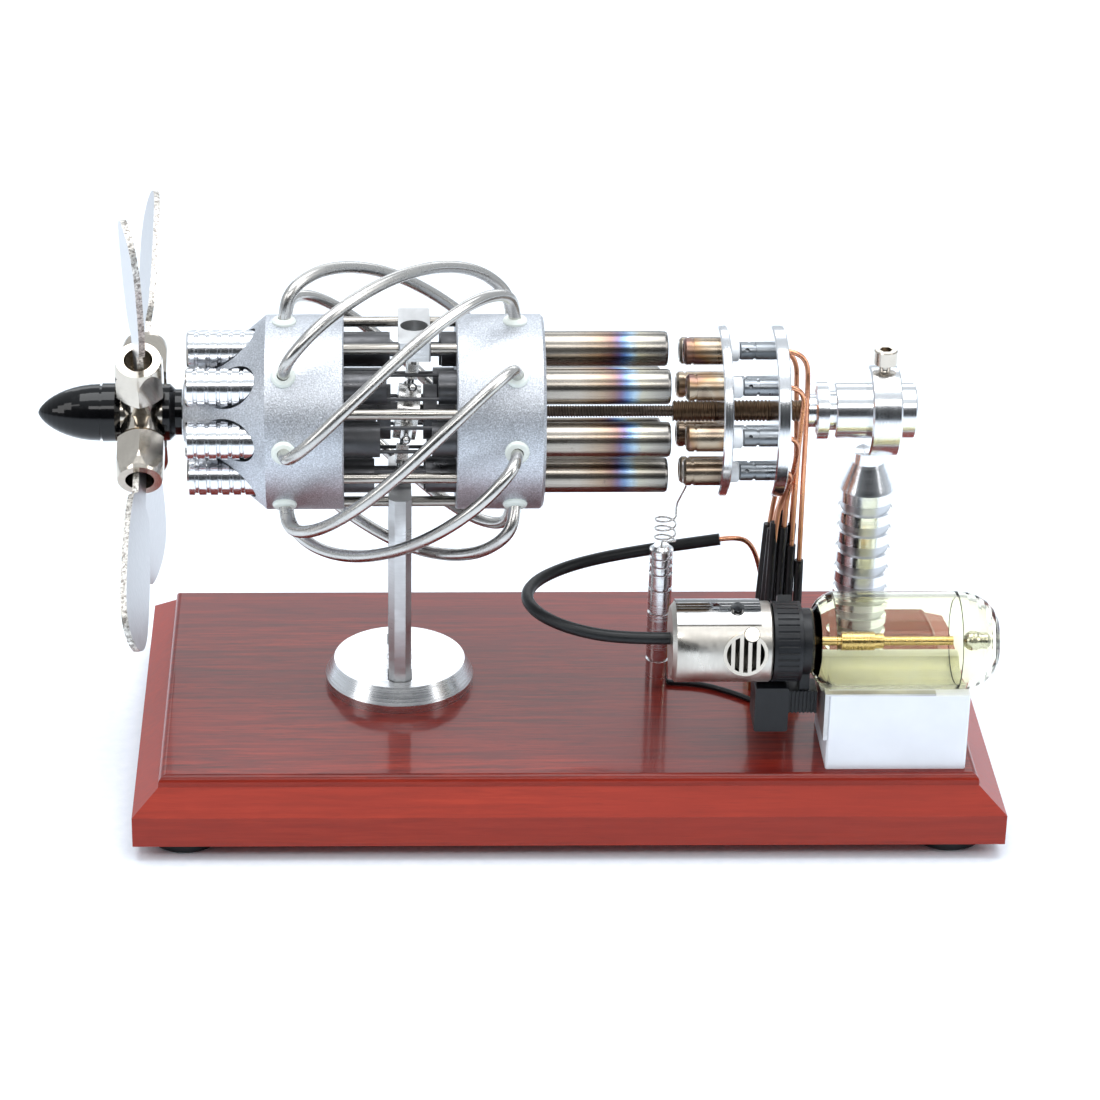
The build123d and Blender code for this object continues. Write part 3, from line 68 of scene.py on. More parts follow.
# ---------------------------------------------------------------- node helpers
class Graph:
    """A material's nodes, with short calls for the ones used here."""

    def __init__(self, name):
        self.material = bpy.data.materials.new(name)
        self.material.use_nodes = True
        self.tree = self.material.node_tree
        self.shader = self.tree.nodes["Principled BSDF"]
        self.coordinates = None

    def node(self, kind, **values):
        made = self.tree.nodes.new(kind)
        for key, value in values.items():
            setattr(made, key, value)
        return made

    def join(self, source, target):
        self.tree.links.new(source, target)

    def feed(self, socket, value):
        """Link an output, or set a plain value."""
        if isinstance(value, bpy.types.NodeSocket):
            self.join(value, socket)
        else:
            socket.default_value = value

    def place(self, scale=(1, 1, 1), move=(0, 0, 0), turn=(0, 0, 0)):
        """Object coordinates (metres), moved, turned and then scaled."""
        if self.coordinates is None:
            self.coordinates = self.node("ShaderNodeTexCoord").outputs["Object"]
        shifted = self.node("ShaderNodeMapping")
        shifted.inputs["Location"].default_value = move
        shifted.inputs["Rotation"].default_value = turn
        self.join(self.coordinates, shifted.inputs["Vector"])
        scaled = self.node("ShaderNodeVectorMath", operation="MULTIPLY")
        self.join(shifted.outputs["Vector"], scaled.inputs[0])
        scaled.inputs[1].default_value = scale
        return scaled.outputs["Vector"]

    def split(self, vector):
        made = self.node("ShaderNodeSeparateXYZ")
        self.join(vector, made.inputs[0])
        return made.outputs

    def combine(self, x, y, z):
        made = self.node("ShaderNodeCombineXYZ")
        for socket, value in zip(made.inputs, (x, y, z)):
            self.feed(socket, value)
        return made.outputs[0]

    def calc(self, operation, *values):
        made = self.node("ShaderNodeMath", operation=operation)
        for socket, value in zip(made.inputs, values):
            self.feed(socket, value)
        return made.outputs[0]

    def noise(self, vector, scale=1.0, detail=3.0, roughness=0.5, distortion=0.0):
        made = self.node("ShaderNodeTexNoise")
        self.join(vector, made.inputs["Vector"])
        made.inputs["Scale"].default_value = scale
        made.inputs["Detail"].default_value = detail
        made.inputs["Roughness"].default_value = roughness
        made.inputs["Distortion"].default_value = distortion
        return made.outputs["Fac"]

    def cells(self, vector):
        made = self.node("ShaderNodeTexVoronoi")
        self.join(vector, made.inputs["Vector"])
        made.inputs["Scale"].default_value = 1.0
        return made.outputs["Distance"]

    def from_axis(self, first, second):
        """Distance from an axis, given the two coordinates across it."""
        squares = [self.calc("MULTIPLY", value, value) for value in (first, second)]
        return self.calc("SQRT", self.calc("ADD", *squares))

    def turning_marks(self, along, radius, scale=TURNING_SCALE):
        """Fine rings left by a lathe, on the rim and on the end faces."""
        place = self.combine(self.calc("MULTIPLY", along, scale), self.calc("MULTIPLY", radius, scale), 0.0)
        return self.noise(place, 1.0, 2.0, 0.6)

    def ramp(self, factor, stops):
        """Colour ramp from (position, colour) stops."""
        made = self.node("ShaderNodeValToRGB")
        band = made.color_ramp
        while len(band.elements) < len(stops):
            band.elements.new(0.5)
        for element, (position, colour) in zip(band.elements, stops):
            element.position = position
            element.color = (*colour, 1.0)
        self.join(factor, made.inputs["Fac"])
        return made.outputs["Color"]

    def span(self, factor, low, high, from_low=0.0, from_high=1.0):
        """Map a factor to a new range, clamped."""
        made = self.node("ShaderNodeMapRange")
        self.join(factor, made.inputs["Value"])
        made.inputs["From Min"].default_value = from_low
        made.inputs["From Max"].default_value = from_high
        made.inputs["To Min"].default_value = low
        made.inputs["To Max"].default_value = high
        return made.outputs["Result"]

    def blend(self, factor, first, second):
        made = self.node("ShaderNodeMix", data_type="RGBA")
        self.feed(made.inputs[0], factor)
        for socket, value in ((made.inputs[6], first), (made.inputs[7], second)):
            if isinstance(value, bpy.types.NodeSocket):
                self.join(value, socket)
            else:
                socket.default_value = (*value, 1.0)
        return made.outputs[2]

    def bump(self, height, distance, strength=1.0, normal=None):
        made = self.node("ShaderNodeBump")
        self.feed(made.inputs["Strength"], strength)
        made.inputs["Distance"].default_value = distance
        self.join(height, made.inputs["Height"])
        if normal is not None:
            self.join(normal, made.inputs["Normal"])
        return made.outputs["Normal"]

    def set(self, **sockets):
        """Feed shader sockets by name, with underscores for spaces."""
        for key, value in sockets.items():
            socket = self.shader.inputs[key.replace("_", " ")]
            if isinstance(value, tuple):
                value = (*value, 1.0)
            self.feed(socket, value)
        return self


# ---------------------------------------------------------------- materials
def metal(name, colour, rough, marks=(600, 600, 600), spread=0.12, grain=0.15, depth=0.00001, stains=0.25):
    """Metal with fine marks along chosen directions, smudges and a slight change of tone."""
    g = Graph(name)
    fine = g.noise(g.place(scale=marks), 1.0, 4.0, 0.6)
    smudge = g.noise(g.place(scale=(70, 70, 70)), 1.0, 3.0, 0.55, 0.6)
    dark = tuple(value * (1 - stains) for value in colour)
    tone = g.blend(g.span(smudge, 0.0, 1.0, 0.35, 0.75), colour, dark)
    streak = tuple(value * (1 - spread) for value in colour)
    tone = g.blend(g.span(fine, 0.0, 0.8, 0.4, 0.7), tone, streak)
    worn = g.span(smudge, -0.4 * rough, 0.5 * rough, 0.3, 0.7)
    uneven = g.calc("ADD", worn, g.span(fine, 0, grain, 0.3, 0.7))
    g.set(Base_Color=tone, Metallic=1.0, Roughness=g.calc("ADD", uneven, rough))
    g.set(Normal=g.bump(fine, depth))
    return g.material


def blasted_aluminium():
    """Bead-blasted aluminium: fine sparkling pits and a soft sheen."""
    g = Graph("blasted_aluminium")
    grit = g.noise(g.place(scale=(2600, 2600, 2600)), 1.0, 2.0, 0.6)
    pits = g.cells(g.place(scale=(1900, 1900, 1900)))
    cloud = g.noise(g.place(scale=(60, 60, 60)), 1.0, 3.0)
    tone = g.ramp(grit, [(0.32, (0.36, 0.38, 0.41)), (0.50, (0.54, 0.56, 0.60)), (0.66, (0.76, 0.79, 0.84))])
    tone = g.blend(g.span(cloud, 0.0, 0.12), tone, (0.40, 0.42, 0.45))
    height = g.calc("ADD", grit, g.calc("MULTIPLY", pits, 0.5))
    g.set(Base_Color=tone, Metallic=0.9, Roughness=g.span(grit, 0.36, 0.52, 0.3, 0.7))
    g.set(Normal=g.bump(height, 0.00008, 0.9))
    return g.material


def lacquered_wood():
    """Red-brown hardwood with pores along X under a glossy, slightly uneven lacquer."""
    g = Graph("lacquered_wood")
    flow = g.noise(g.place(scale=(9, 34, 34)), 1.0, 4.0, 0.55, 0.8)
    streaks = g.noise(g.place(scale=(38, 620, 620)), 1.0, 6.0, 0.7, 0.25)
    pores = g.noise(g.place(scale=(120, 2400, 2400), move=(0.01, 0, 0)), 1.0, 3.0, 0.6)
    bands = g.noise(g.place(scale=(5, 90, 90), move=(0.2, 0.1, 0)), 1.0, 5.0, 0.6, 1.4)
    tone = g.ramp(
        streaks,
        [(0.28, (0.050, 0.005, 0.003)), (0.46, (0.15, 0.010, 0.005)), (0.66, (0.27, 0.024, 0.010))],
    )
    tone = g.blend(g.span(flow, 0.0, 0.6, 0.35, 0.7), tone, (0.13, 0.009, 0.008))
    tone = g.blend(g.span(bands, 0.0, 0.45, 0.55, 0.72), tone, (0.05, 0.004, 0.005))
    tone = g.blend(g.span(pores, 0.0, 0.75, 0.58, 0.72), tone, (0.035, 0.004, 0.005))
    # Painted light: below the top face, the bevel and sides of the board are painted lighter and redder than
    # the top.
    height = g.split(g.place())[2]
    side = g.span(height, 1.0, 0.0, 0.0215, 0.0235)
    tone = g.blend(g.calc("MULTIPLY", side, 0.45), tone, (0.42, 0.034, 0.012))
    wave = g.noise(g.place(scale=(130, 260, 260)), 1.0, 2.0)
    g.set(Base_Color=tone, Roughness=g.span(streaks, 0.34, 0.46), Specular_IOR_Level=0.15)
    g.set(Normal=g.bump(streaks, 0.00004, 0.5))
    g.set(Coat_Weight=0.6, Coat_Roughness=0.10, Coat_IOR=1.32)
    g.join(g.bump(wave, 0.00003, 0.8), g.shader.inputs["Coat Normal"])
    return g.material


def heat_tint(name, stops, low, high, drift=0.0025, rough=0.2):
    """Polished steel with heat colours that follow X from low to high, in metres."""
    g = Graph(name)
    place = g.place()
    patch = g.noise(g.place(scale=(40, 140, 140)), 1.0, 3.0, 0.6)
    speck = g.noise(g.place(scale=(500, 500, 500)), 1.0, 3.0, 0.7)
    streak = g.noise(g.place(scale=(25, 1500, 1500)), 1.0, 3.0, 0.6)
    along = g.calc("ADD", g.split(place)[0], g.calc("MULTIPLY", g.calc("SUBTRACT", patch, 0.5), drift * 2))
    tone = g.ramp(g.span(along, 0.0, 1.0, low, high), stops)
    tone = g.blend(g.span(speck, 0.0, 0.6, 0.62, 0.78), tone, (0.10, 0.08, 0.07))
    tone = g.blend(g.span(streak, 0.0, 0.3, 0.45, 0.7), tone, (0.16, 0.14, 0.13))
    roughness = g.calc("ADD", g.span(patch, rough * 0.7, rough * 1.5), g.span(streak, 0.0, 0.12, 0.4, 0.7))
    g.set(Base_Color=tone, Metallic=1.0, Roughness=roughness)
    g.set(Normal=g.bump(streak, 0.00001, 0.6))
    return g.material


def burner_steel():
    """Burner cups stained brown, gold and purple by the flame."""
    g = Graph("burner_steel")
    patch = g.noise(g.place(scale=(60, 60, 60), move=(0.013, 0.02, 0.01)), 1.0, 2.0, 0.5, 0.3)
    stops = [
        (0.30, (0.10, 0.08, 0.07)),
        (0.42, (0.26, 0.20, 0.15)),
        (0.52, (0.40, 0.33, 0.25)),
        (0.62, (0.34, 0.21, 0.12)),
        (0.70, (0.24, 0.14, 0.14)),
        (0.80, (0.36, 0.31, 0.25)),
    ]
    rings = g.noise(g.place(scale=(2200, 60, 60)), 1.0, 2.0)
    g.set(Base_Color=g.ramp(patch, stops), Metallic=1.0, Roughness=g.span(patch, 0.18, 0.38, 0.3, 0.7))
    g.set(Normal=g.bump(rings, 0.00001, 0.6))
    return g.material


def plastic(name, colour, rough, grit=900, depth=0.00002, variation=0.25, coat=0.0, gloss=0.5):
    """Moulded plastic or rubber with a fine skin texture."""
    g = Graph(name)
    skin = g.noise(g.place(scale=(grit, grit, grit)), 1.0, 3.0, 0.6)
    cloud = g.noise(g.place(scale=(90, 90, 90)), 1.0, 3.0)
    light = tuple(min(1.0, value * (1 + variation)) for value in colour)
    dark = tuple(value * (1 - variation) for value in colour)
    tone = g.blend(g.span(cloud, 0.0, 1.0, 0.3, 0.7), dark, light)
    roughness = g.calc("ADD", g.span(skin, -0.06, 0.08, 0.3, 0.7), g.span(cloud, rough * 0.85, rough * 1.15))
    g.set(Base_Color=tone, Roughness=roughness, Specular_IOR_Level=gloss)
    g.set(Coat_Weight=coat, Coat_Roughness=0.04, Coat_IOR=1.4)
    g.set(Normal=g.bump(skin, depth, 0.7))
    return g.material


def clear_plastic():
    """Clear moulded plastic with a yellow cast, faint flow lines and small scratches."""
    g = Graph("clear_plastic")
    flow = g.noise(g.place(scale=(160, 90, 90)), 1.0, 3.0, 0.5, 0.8)
    scratch = g.noise(g.place(scale=(90, 1800, 1800)), 1.0, 3.0, 0.7)
    tone = g.ramp(flow, [(0.3, (0.985, 0.975, 0.84)), (0.7, (0.97, 0.955, 0.78))])
    g.set(Base_Color=tone, Roughness=g.span(scratch, 0.0, 0.09, 0.55, 0.8), IOR=1.2)
    g.set(Transmission_Weight=1.0, Normal=g.bump(flow, 0.00004, 0.5))
    return g.material


def turned(name, colour, rough, center_z):
    """Lathe-turned metal: rings across an X axis on the rim and round it on the end faces."""
    g = Graph(name)
    x, y, z = g.split(g.place(move=(0, 0, -center_z)))
    rings = g.turning_marks(x, g.from_axis(y, z), 2600)
    smudge = g.noise(g.place(scale=(85, 85, 85)), 1.0, 3.0, 0.5, 0.4)
    dark = tuple(value * 0.82 for value in colour)
    tone = g.blend(g.span(rings, 0.0, 0.7, 0.4, 0.7), colour, dark)
    g.set(Base_Color=tone, Metallic=1.0)
    worn = g.span(smudge, rough * 0.7, rough * 1.3)
    g.set(Roughness=g.calc("ADD", worn, g.span(rings, 0.0, 0.12, 0.35, 0.7)))
    g.set(Normal=g.bump(rings, 0.000012, 0.8))
    return g.material


def turned_upright(name, colour, rough, center_x, center_y):
    """Lathe-turned metal about a vertical axis."""
    g = Graph(name)
    x, y, z = g.split(g.place(move=(-center_x, -center_y, 0)))
    rings = g.turning_marks(z, g.from_axis(y, x))
    smudge = g.noise(g.place(scale=(85, 85, 85)), 1.0, 3.0, 0.5, 0.4)
    dark = tuple(value * 0.8 for value in colour)
    g.set(Base_Color=g.blend(g.span(rings, 0.0, 0.7, 0.4, 0.7), colour, dark), Metallic=1.0)
    worn = g.span(smudge, rough * 0.7, rough * 1.3)
    g.set(Roughness=g.calc("ADD", worn, g.span(rings, 0.0, 0.14, 0.35, 0.7)))
    g.set(Normal=g.bump(rings, 0.000015, 0.9))
    return g.material


TINT_STOPS = [
    (0.00, (0.36, 0.33, 0.29)),
    (0.25, (0.40, 0.36, 0.31)),
    (0.44, (0.34, 0.26, 0.19)),
    (0.54, (0.24, 0.15, 0.13)),
    (0.595, (0.17, 0.13, 0.22)),
    (0.645, (0.16, 0.25, 0.42)),
    (0.70, (0.36, 0.48, 0.58)),
    (0.76, (0.44, 0.42, 0.34)),
    (0.86, (0.33, 0.31, 0.27)),
    (1.00, (0.20, 0.19, 0.18)),
]


def blade_metal():
    """Brushed plate whose cut edges are coarse and bright."""
    g = Graph("blade_plate")
    brushed = g.noise(g.place(scale=(1700, 1700, 240)), 1.0, 4.0, 0.6)
    saw = g.noise(g.place(scale=(1100, 1100, 1100)), 1.0, 2.0, 0.7)
    geometry = g.node("ShaderNodeNewGeometry")
    facing = g.calc("ABSOLUTE", g.split(geometry.outputs["Normal"])[0])
    edge = g.span(facing, 1.0, 0.0, 0.55, 0.7)
    face_tone = g.ramp(brushed, [(0.3, (0.50, 0.50, 0.51)), (0.7, (0.64, 0.64, 0.65))])
    edge_tone = g.ramp(saw, [(0.35, (0.22, 0.20, 0.18)), (0.62, (0.80, 0.77, 0.72))])
    g.set(Base_Color=g.blend(edge, face_tone, edge_tone), Metallic=1.0)
    g.set(Roughness=g.calc("ADD", g.span(brushed, 0.28, 0.44, 0.3, 0.7), g.calc("MULTIPLY", edge, 0.08)))
    g.set(Normal=g.bump(saw, 0.0003, edge, g.bump(brushed, 0.00002)))
    return g.material


REAR_POST_X = 0.0886
GROOVE_TOP = 0.0839
GROOVE_PITCH = 0.0066
GROOVE_SHARE = 3.0 / 6.6


def grooved_post():
    """Turned post whose square grooves are rougher than its lands and carry painted shade, a darker colour.
    """
    g = Graph("turned_rear_post")
    x, y, z = g.split(g.place(move=(-REAR_POST_X, 0, 0)))
    rings = g.turning_marks(z, g.from_axis(y, x))
    depth = g.calc("SUBTRACT", GROOVE_TOP, z)
    phase = g.calc("FRACT", g.calc("DIVIDE", depth, GROOVE_PITCH))
    groove = g.calc("MULTIPLY", g.calc("LESS_THAN", phase, GROOVE_SHARE), g.calc("GREATER_THAN", depth, 0.0))
    tone = g.blend(g.span(rings, 0.0, 0.7, 0.4, 0.7), (0.82, 0.83, 0.85), (0.66, 0.67, 0.69))
    # Painted shade: the grooves' colour is darkened as if shade fell in them; their extra roughness is real.
    g.set(Base_Color=g.blend(groove, tone, (0.52, 0.53, 0.55)), Metallic=1.0)
    g.set(Roughness=g.calc("ADD", g.span(rings, 0.14, 0.26, 0.35, 0.7), g.calc("MULTIPLY", groove, 0.15)))
    g.set(Normal=g.bump(rings, 0.000015, 0.9))
    return g.material


STAINLESS = metal("stainless_tube", (0.60, 0.585, 0.56), 0.2, marks=(500, 1400, 1400), grain=0.08)
ROD_STEEL = metal("rod_steel", (0.46, 0.43, 0.39), 0.2, marks=(60, 1800, 1800))
BLACK_RUBBER = plastic("black_rubber", (0.006, 0.007, 0.008), 0.42, 1400, gloss=0.35)
SHRINK = plastic("shrink_sleeve", (0.007, 0.007, 0.008), 0.36, 420, 0.00015, gloss=0.4)
COPPER = metal("copper", (0.83, 0.40, 0.24), 0.2, marks=(300, 300, 300), stains=0.35)
THREAD_STEEL = metal("thread_steel", (0.24, 0.19, 0.15), 0.3, marks=(900, 900, 900), stains=0.5)
THREAD_BURNT = metal("thread_burnt", (0.20, 0.13, 0.08), 0.34, marks=(700, 700, 700), stains=0.55)
PISTON_STEEL = metal("piston_steel", (0.11, 0.11, 0.115), 0.36, marks=(900, 900, 900))
BRIGHT_STEEL = metal("bright_steel", (0.72, 0.71, 0.69), 0.16, marks=(900, 900, 900))
NICKEL = metal("nickel_plate", (0.66, 0.60, 0.52), 0.13, marks=(900, 900, 900), stains=0.2, grain=0.06)
SHEET = metal("brushed_sheet", (0.62, 0.62, 0.62), 0.3, marks=(220, 220, 1600), grain=0.2)
TURNED = turned("turned_aluminium", (0.86, 0.87, 0.89), 0.13, AXIS_Z)
BARREL = metal("satin_nickel", (0.62, 0.585, 0.53), 0.3, marks=(700, 160, 160), grain=0.1, stains=0.12)
MIRROR = metal("mirror_chrome", (0.34, 0.335, 0.33), 0.05, marks=(500, 500, 500), stains=0.15, grain=0.04)
BLACK_PLASTIC = plastic("black_plastic", (0.008, 0.009, 0.011), 0.4, 1100, gloss=0.35)
BLACK_GLOSS = plastic("black_gloss", (0.002, 0.002, 0.0025), 0.1, 600, 0.000003, coat=0.5, gloss=0.15)

FINISHES = {
    "base_board": lacquered_wood(),
    "rubber_feet": BLACK_RUBBER,
    "foot_screws": BRIGHT_STEEL,
    "stand_disc": turned_upright("turned_stand", (0.80, 0.81, 0.83), 0.2, -0.048, 0.0),
    "front_post": SHEET,
    "top_block": SHEET,
    "front_housing": blasted_aluminium(),
    "shaft_bushes": metal("bronze", (0.55, 0.36, 0.16), 0.3),
    "tie_rods": ROD_STEEL,
    "power_cylinders": TURNED,
    "hot_cylinders": heat_tint("blued_steel", TINT_STOPS, -0.0068, 0.0288),
    "transfer_tubes": STAINLESS,
    "tube_seals": plastic("white_sealant", (0.78, 0.83, 0.78), 0.4, 700, 0.00008, 0.08),
    "crankshaft": PISTON_STEEL,
    "wobble_plate": BRIGHT_STEEL,
    "spinner": BLACK_GLOSS,
    "prop_hub": NICKEL,
    "prop_nuts": NICKEL,
    "prop_blades": blade_metal(),
    "rotor_collar": BLACK_GLOSS,
    "center_rod": THREAD_STEEL,
    "burner_sleeve": THREAD_BURNT,
    "burner_nozzles": burner_steel(),
    "nozzle_bushes": plastic("white_insulator", (0.82, 0.84, 0.86), 0.35, 700, 0.00001, 0.05),
    "gas_jets": metal("jet_steel", (0.30, 0.32, 0.34), 0.26),
    "copper_pipes": COPPER,
    "pipe_sleeves": SHRINK,
    "gas_manifold": metal("brass_block", (0.62, 0.45, 0.20), 0.25),
    "rear_shaft": TURNED,
    "clamp_ring": TURNED,
    "socket_screws": NICKEL,
    "rear_post": grooved_post(),
    "ignition_post": turned_upright("turned_ignition_post", (0.78, 0.79, 0.80), 0.16, 0.029, -0.003),
    "electrode_spring": BRIGHT_STEEL,
    "ignition_wire": BLACK_PLASTIC,
    "torch_barrel": BARREL,
    "torch_cover": MIRROR,
    "torch_grille": NICKEL,
    "torch_neck": BLACK_PLASTIC,
    "adjuster_ring": BLACK_PLASTIC,
    "fuel_tank": clear_plastic(),
    "fill_valve": BRIGHT_STEEL,
    "brass_stem": metal("brass", (0.72, 0.52, 0.26), 0.18),
    "piezo_guide": BLACK_PLASTIC,
    "torch_trigger": BLACK_PLASTIC,
    "tank_bracket": SHEET,
    "cradle_block": plastic("white_block", (0.80, 0.83, 0.88), 0.36, 500, 0.00003, 0.03),
    "gas_hose": BLACK_RUBBER,
    "burner_front_disc": TURNED,
}
FINISHES["rear_housing"] = FINISHES["front_housing"]
FINISHES["tank_cap"] = FINISHES["fuel_tank"]
FINISHES["burner_rear_disc"] = FINISHES["burner_front_disc"]
for index in range(CYLINDERS):
    FINISHES[f"piston_set_{index + 1}"] = PISTON_STEEL


def finish_node(name, material):
    """Give a CAD node its material and smooth its curved faces."""
    mesh = NODES[name].data
    mesh.materials.clear()
    mesh.materials.append(material)
    mesh.shade_smooth()
    mesh.set_sharp_from_angle(angle=math.radians(CREASE_DEGREES))


for name, material in FINISHES.items():
    finish_node(name, material)


# ---------------------------------------------------------------- pieces
def add_mesh(name, mesh_data, material, body, slot, *replaced, smooth=40.0):
    """Link a mesh built here, with its finish, on its body, and hide the nodes it stands for."""
    mesh = bpy.data.meshes.new(name)
    mesh_data.to_mesh(mesh)
    mesh_data.free()
    mesh.materials.append(material)
    mesh.shade_smooth()
    mesh.set_sharp_from_angle(angle=math.radians(smooth))
    piece = bpy.data.objects.new(name, mesh)
    bpy.context.scene.collection.objects.link(piece)
    return settle(piece, body, slot, *replaced)


def settle(piece, body, slot, *replaced):
    """Put a piece on its body and hide the nodes it stands for. The slot is not used."""
    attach(piece, body)
    if replaced:
        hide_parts(*replaced)
    return piece


def smooth_curve(name, routes, radius, material, closed_ends=True):
    """Round wire or tube along smooth splines through control points in millimetres."""
    data = bpy.data.curves.new(name, "CURVE")
    data.dimensions = "3D"
    data.bevel_depth = radius * MM
    data.bevel_resolution = 6
    data.use_fill_caps = closed_ends
    for route in routes:
        spline = data.splines.new("NURBS")
        spline.points.add(len(route) - 1)
        for point, place in zip(spline.points, route):
            point.co = (*[value * MM for value in place], 1.0)
        spline.order_u = 3
        spline.use_endpoint_u = True
        spline.resolution_u = 10
    data.materials.append(material)
    piece = bpy.data.objects.new(name, data)
    bpy.context.scene.collection.objects.link(piece)
    return piece


# ---------------------------------------------------------------- gas hose
HOSE_RADIUS = 1.8
HOSE_ROUTE = [
    (29.0, -41.0, 58.8),
    (15.0, -41.0, 58.8),
    (1.5, -37.0, 59.5),
    (-8.0, -28.8, 60.0),
    (-11.8, -17.5, 59.9),
    (-8.4, -6.2, 59.5),
    (1.0, 2.6, 59.7),
    (13.0, 6.9, 60.9),
    (28.0, 7.8, 63.2),
    (39.0, 7.2, 65.3),
    (47.0, 6.2, 67.0),
]
hose = smooth_curve("hose_curve", [HOSE_ROUTE], HOSE_RADIUS, BLACK_RUBBER)
settle(hose, "base", "rubber_black", "gas_hose")


# ---------------------------------------------------------------- transfer tubes
TUBE_START_X = -81.2
TUBE_END_X = -15.1
TUBE_RADIUS = 1.8
TUBE_TWIST = 90.0


def tube_route(start_angle):
    """Control points of one gas tube: share of the length, radius and share of the twist."""
    stations = [
        (0.000, 25.4, 0.000),
        (0.000, 33.0, 0.000),
        (0.045, 38.2, 0.050),
        (0.160, 41.4, 0.170),
        (0.320, 42.4, 0.325),
        (0.500, 42.6, 0.500),
        (0.680, 42.4, 0.675),
        (0.840, 41.4, 0.830),
        (0.955, 38.2, 0.950),
        (1.000, 33.0, 1.000),
        (1.000, 25.4, 1.000),
    ]
    route = []
    for along, radius, twist in stations:
        turn = math.radians(start_angle + TUBE_TWIST * twist)
        x = TUBE_START_X + (TUBE_END_X - TUBE_START_X) * along
        route.append((x, -radius * math.cos(turn), AXIS_Z / MM + radius * math.sin(turn)))
    return route


tube_routes = [tube_route(angle) for angle in ANGLES]
tubes = smooth_curve("tube_curves", tube_routes, TUBE_RADIUS, STAINLESS, False)
settle(tubes, "base", "steel_bright", "transfer_tubes")


# ---------------------------------------------------------------- gas pipes
BURNER_CIRCLE = 18.8
PIPE_START_X = 61.7
PIPE_RADIUS = 0.75
SLEEVE_RADIUS = 1.3
PIPE_RUNS = {
    90: [(69.2, 0.0, 130.4), (69.2, -5.6, 119.0), (69.2, -5.6, 84.0), (69.6, -5.6, 33.5)],
    45: [(67.4, -13.3, 124.9), (67.4, -9.0, 112.0), (67.0, -5.6, 96.0), (66.6, -5.6, 33.5)],
    0: [
        (65.8, -18.8, 111.6),
        (65.8, -10.5, 98.0),
        (65.3, -5.6, 90.0),
        (64.3, -5.6, 80.0),
        (63.6, -5.6, 33.5),
    ],
    315: [(65.0, -13.3, 98.3), (64.0, -8.6, 90.0), (61.6, -5.9, 80.0), (60.6, -5.6, 33.5)],
    270: [(65.6, 0.0, 92.8), (64.0, -2.8, 86.0), (61.2, -2.9, 76.0), (59.4, -2.9, 33.5)],
    180: [(66.0, 18.8, 111.6), (66.0, 9.0, 98.0), (64.8, -2.0, 84.0), (62.4, -2.9, 33.5)],
    135: [(67.8, 13.3, 124.9), (67.8, 8.6, 111.6), (67.8, -1.6, 90.0), (65.4, -2.9, 33.5)],
    225: [(65.0, 13.3, 98.3), (64.4, 6.6, 88.0), (60.6, 1.4, 76.0), (58.0, 0.0, 33.5)],
}
FEED_ROUTE = [
    (47.0, 6.2, 67.0),
    (52.5, 5.5, 68.2),
    (57.0, 7.4, 64.5),
    (60.0, 9.2, 55.0),
    (62.0, 10.0, 43.0),
    (63.0, 10.0, 28.5),
    (63.0, 5.0, 28.5),
]
SLEEVE_TOPS = {90: 66.0, 45: 71.0, 0: 77.0, 315: 78.5, 270: 75.0, 180: 80.0, 135: 76.0, 225: 74.5}


def pipe_points(angle):
    """Control points of one copper pipe, with a straight lead into its long last run."""
    turn = math.radians(angle)
    start = (PIPE_START_X, -BURNER_CIRCLE * math.cos(turn), AXIS_Z / MM + BURNER_CIRCLE * math.sin(turn))
    return [start] + PIPE_RUNS[angle]


def sleeve_points(angle):
    """Lower part of a pipe's last run, from the top of its sleeve to the manifold."""
    above, below = (Vector(point) for point in PIPE_RUNS[angle][-2:])
    top = below + (above - below) * ((SLEEVE_TOPS[angle] - below.z) / (above.z - below.z))
    return [tuple(top), tuple((top + below) / 2), tuple(below)]


pipe_routes = [pipe_points(angle) for angle in PIPE_RUNS] + [FEED_ROUTE]
pipes = smooth_curve("pipe_curves", pipe_routes, PIPE_RADIUS, COPPER)
settle(pipes, "base", "copper", "copper_pipes")
sleeve_routes = [sleeve_points(angle) for angle in PIPE_RUNS]
sleeves = smooth_curve("sleeve_curves", sleeve_routes, SLEEVE_RADIUS, SHRINK)
settle(sleeves, "base", "rubber_black", "pipe_sleeves")


# ---------------------------------------------------------------- threads
def threaded_rod(name, radius, depth, pitch, start, end, material, node, slot):
    """Rod along the engine axis with a real helical thread."""
    sides = 24
    rows_per_turn = 6
    rows = int((end - start) / pitch * rows_per_turn)
    build = bmesh.new()
    rings = []
    for row in range(rows + 1):
        x = start + (end - start) * row / rows
        ring = []
        for side in range(sides):
            turn = 2 * math.pi * side / sides
            phase = (x / pitch - side / sides) % 1.0
            height = radius - depth * abs(2 * phase - 1)
            ring.append(build.verts.new((
                x * MM,
                height * math.cos(turn) * MM,
                AXIS_Z + height * math.sin(turn) * MM,
            )))
        rings.append(ring)
    for low, high in zip(rings, rings[1:]):
        for side in range(sides):
            after = (side + 1) % sides
            build.faces.new((low[side], low[after], high[after], high[side]))
    build.faces.new(list(reversed(rings[0])))
    build.faces.new(rings[-1])
    bmesh.ops.recalc_face_normals(build, faces=build.faces)
    add_mesh(name, build, material, "base", slot, node, smooth=75.0)


threaded_rod("thread_thin", 1.8, 0.42, 0.8, -20.0, 39.0, THREAD_STEEL, "center_rod", "steel_dark")
threaded_rod("thread_thick", 3.2, 0.55, 1.1, 31.0, 69.9, THREAD_BURNT, "burner_sleeve", "steel_blued")


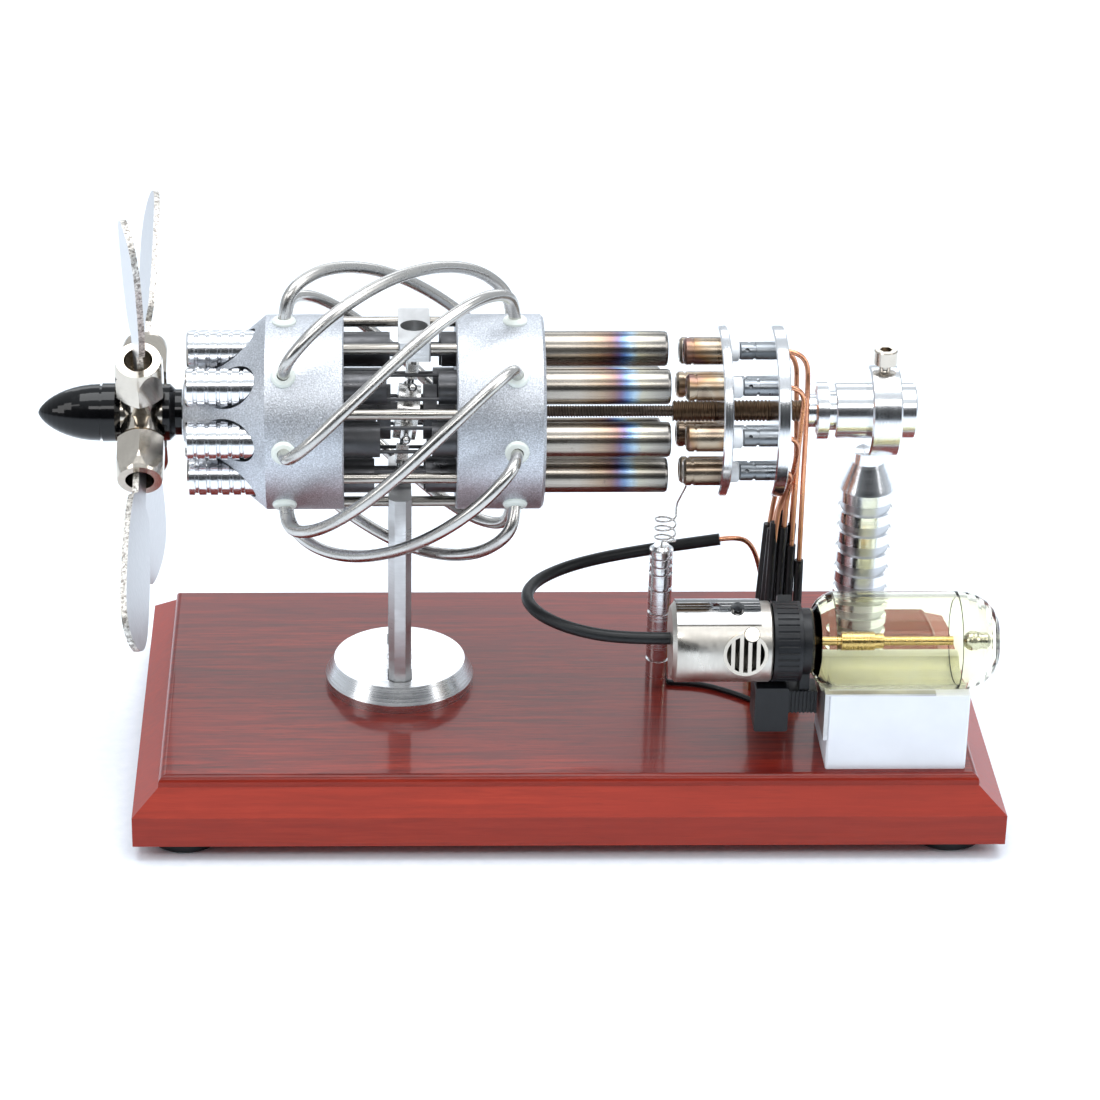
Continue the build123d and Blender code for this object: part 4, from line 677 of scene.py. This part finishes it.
# ---------------------------------------------------------------- floor, light
def make_floor():
    """Wide pale floor with a faint cloth-like nap."""
    g = Graph("floor")
    nap = g.noise(g.place(scale=(260, 260, 260)), 1.0, 4.0, 0.65)
    tone = g.ramp(nap, [(0.3, (0.80, 0.86, 0.93)), (0.7, (0.86, 0.91, 0.97))])
    g.set(Base_Color=tone, Roughness=0.9, Specular_IOR_Level=0.1, Normal=g.bump(nap, 0.0004, 0.4))
    build = bmesh.new()
    bmesh.ops.create_grid(build, x_segments=8, y_segments=8, size=8.0)
    mesh = bpy.data.meshes.new("floor")
    build.to_mesh(mesh)
    build.free()
    mesh.materials.append(g.material)
    floor = bpy.data.objects.new("floor", mesh)
    bpy.context.scene.collection.objects.link(floor)


def make_light(name, place, target, size, power, colour=(1.0, 1.0, 1.0)):
    """Rectangular soft light aimed at a point."""
    data = bpy.data.lights.new(name, "AREA")
    data.shape = "RECTANGLE"
    data.size, data.size_y = size
    data.energy = power
    data.color = colour
    light = bpy.data.objects.new(name, data)
    light.location = place
    aim = Vector(target) - Vector(place)
    light.rotation_euler = aim.to_track_quat("-Z", "Y").to_euler()
    bpy.context.scene.collection.objects.link(light)


def rise(tree, source, low, high, to_low, to_high):
    """Map one direction of the surroundings to a brightness."""
    made = tree.nodes.new("ShaderNodeMapRange")
    limits = {"From Min": low, "From Max": high, "To Min": to_low, "To Max": to_high}
    for socket, value in limits.items():
        made.inputs[socket].default_value = value
    tree.links.new(source, made.inputs["Value"])
    return made.outputs["Result"]


def make_world():
    """Pale surroundings, darker on the camera's side and low down, as a studio is."""
    world = bpy.data.worlds.new("surroundings")
    world.use_nodes = True
    tree = world.node_tree
    background = tree.nodes["Background"]
    place = tree.nodes.new("ShaderNodeTexCoord")
    parts = tree.nodes.new("ShaderNodeSeparateXYZ")
    tree.links.new(place.outputs["Generated"], parts.inputs[0])
    brighter = tree.nodes.new("ShaderNodeMath")
    brighter.operation = "MAXIMUM"
    tree.links.new(rise(tree, parts.outputs[1], -0.95, 0.2, 0.05, 0.75), brighter.inputs[0])
    tree.links.new(rise(tree, parts.outputs[2], 0.45, 0.9, 0.0, 0.9), brighter.inputs[1])
    tree.links.new(brighter.outputs[0], background.inputs["Strength"])
    background.inputs["Color"].default_value = (0.88, 0.94, 1.0, 1.0)
    bpy.context.scene.world = world


make_floor()
make_world()
CENTER = (0.0, 0.0, 0.1)
make_light("top_light", (0.0, 0.05, 1.3), CENTER, (1.3, 0.8), 14.0, (0.96, 0.98, 1.0))
make_light("left_light", (-1.1, -0.55, 0.8), CENTER, (0.5, 0.9), 4.5)
make_light("right_light", (1.1, -0.5, 0.85), CENTER, (0.5, 0.9), 4.5)
make_light("front_light", (0.0, -1.1, 1.15), CENTER, (1.2, 0.3), 5.0)
make_light("back_light", (0.1, 1.2, 0.8), CENTER, (1.6, 0.5), 4.0, (0.94, 0.97, 1.0))
bpy.context.scene.view_settings.view_transform = "Standard"
bpy.context.scene.view_settings.look = "None"
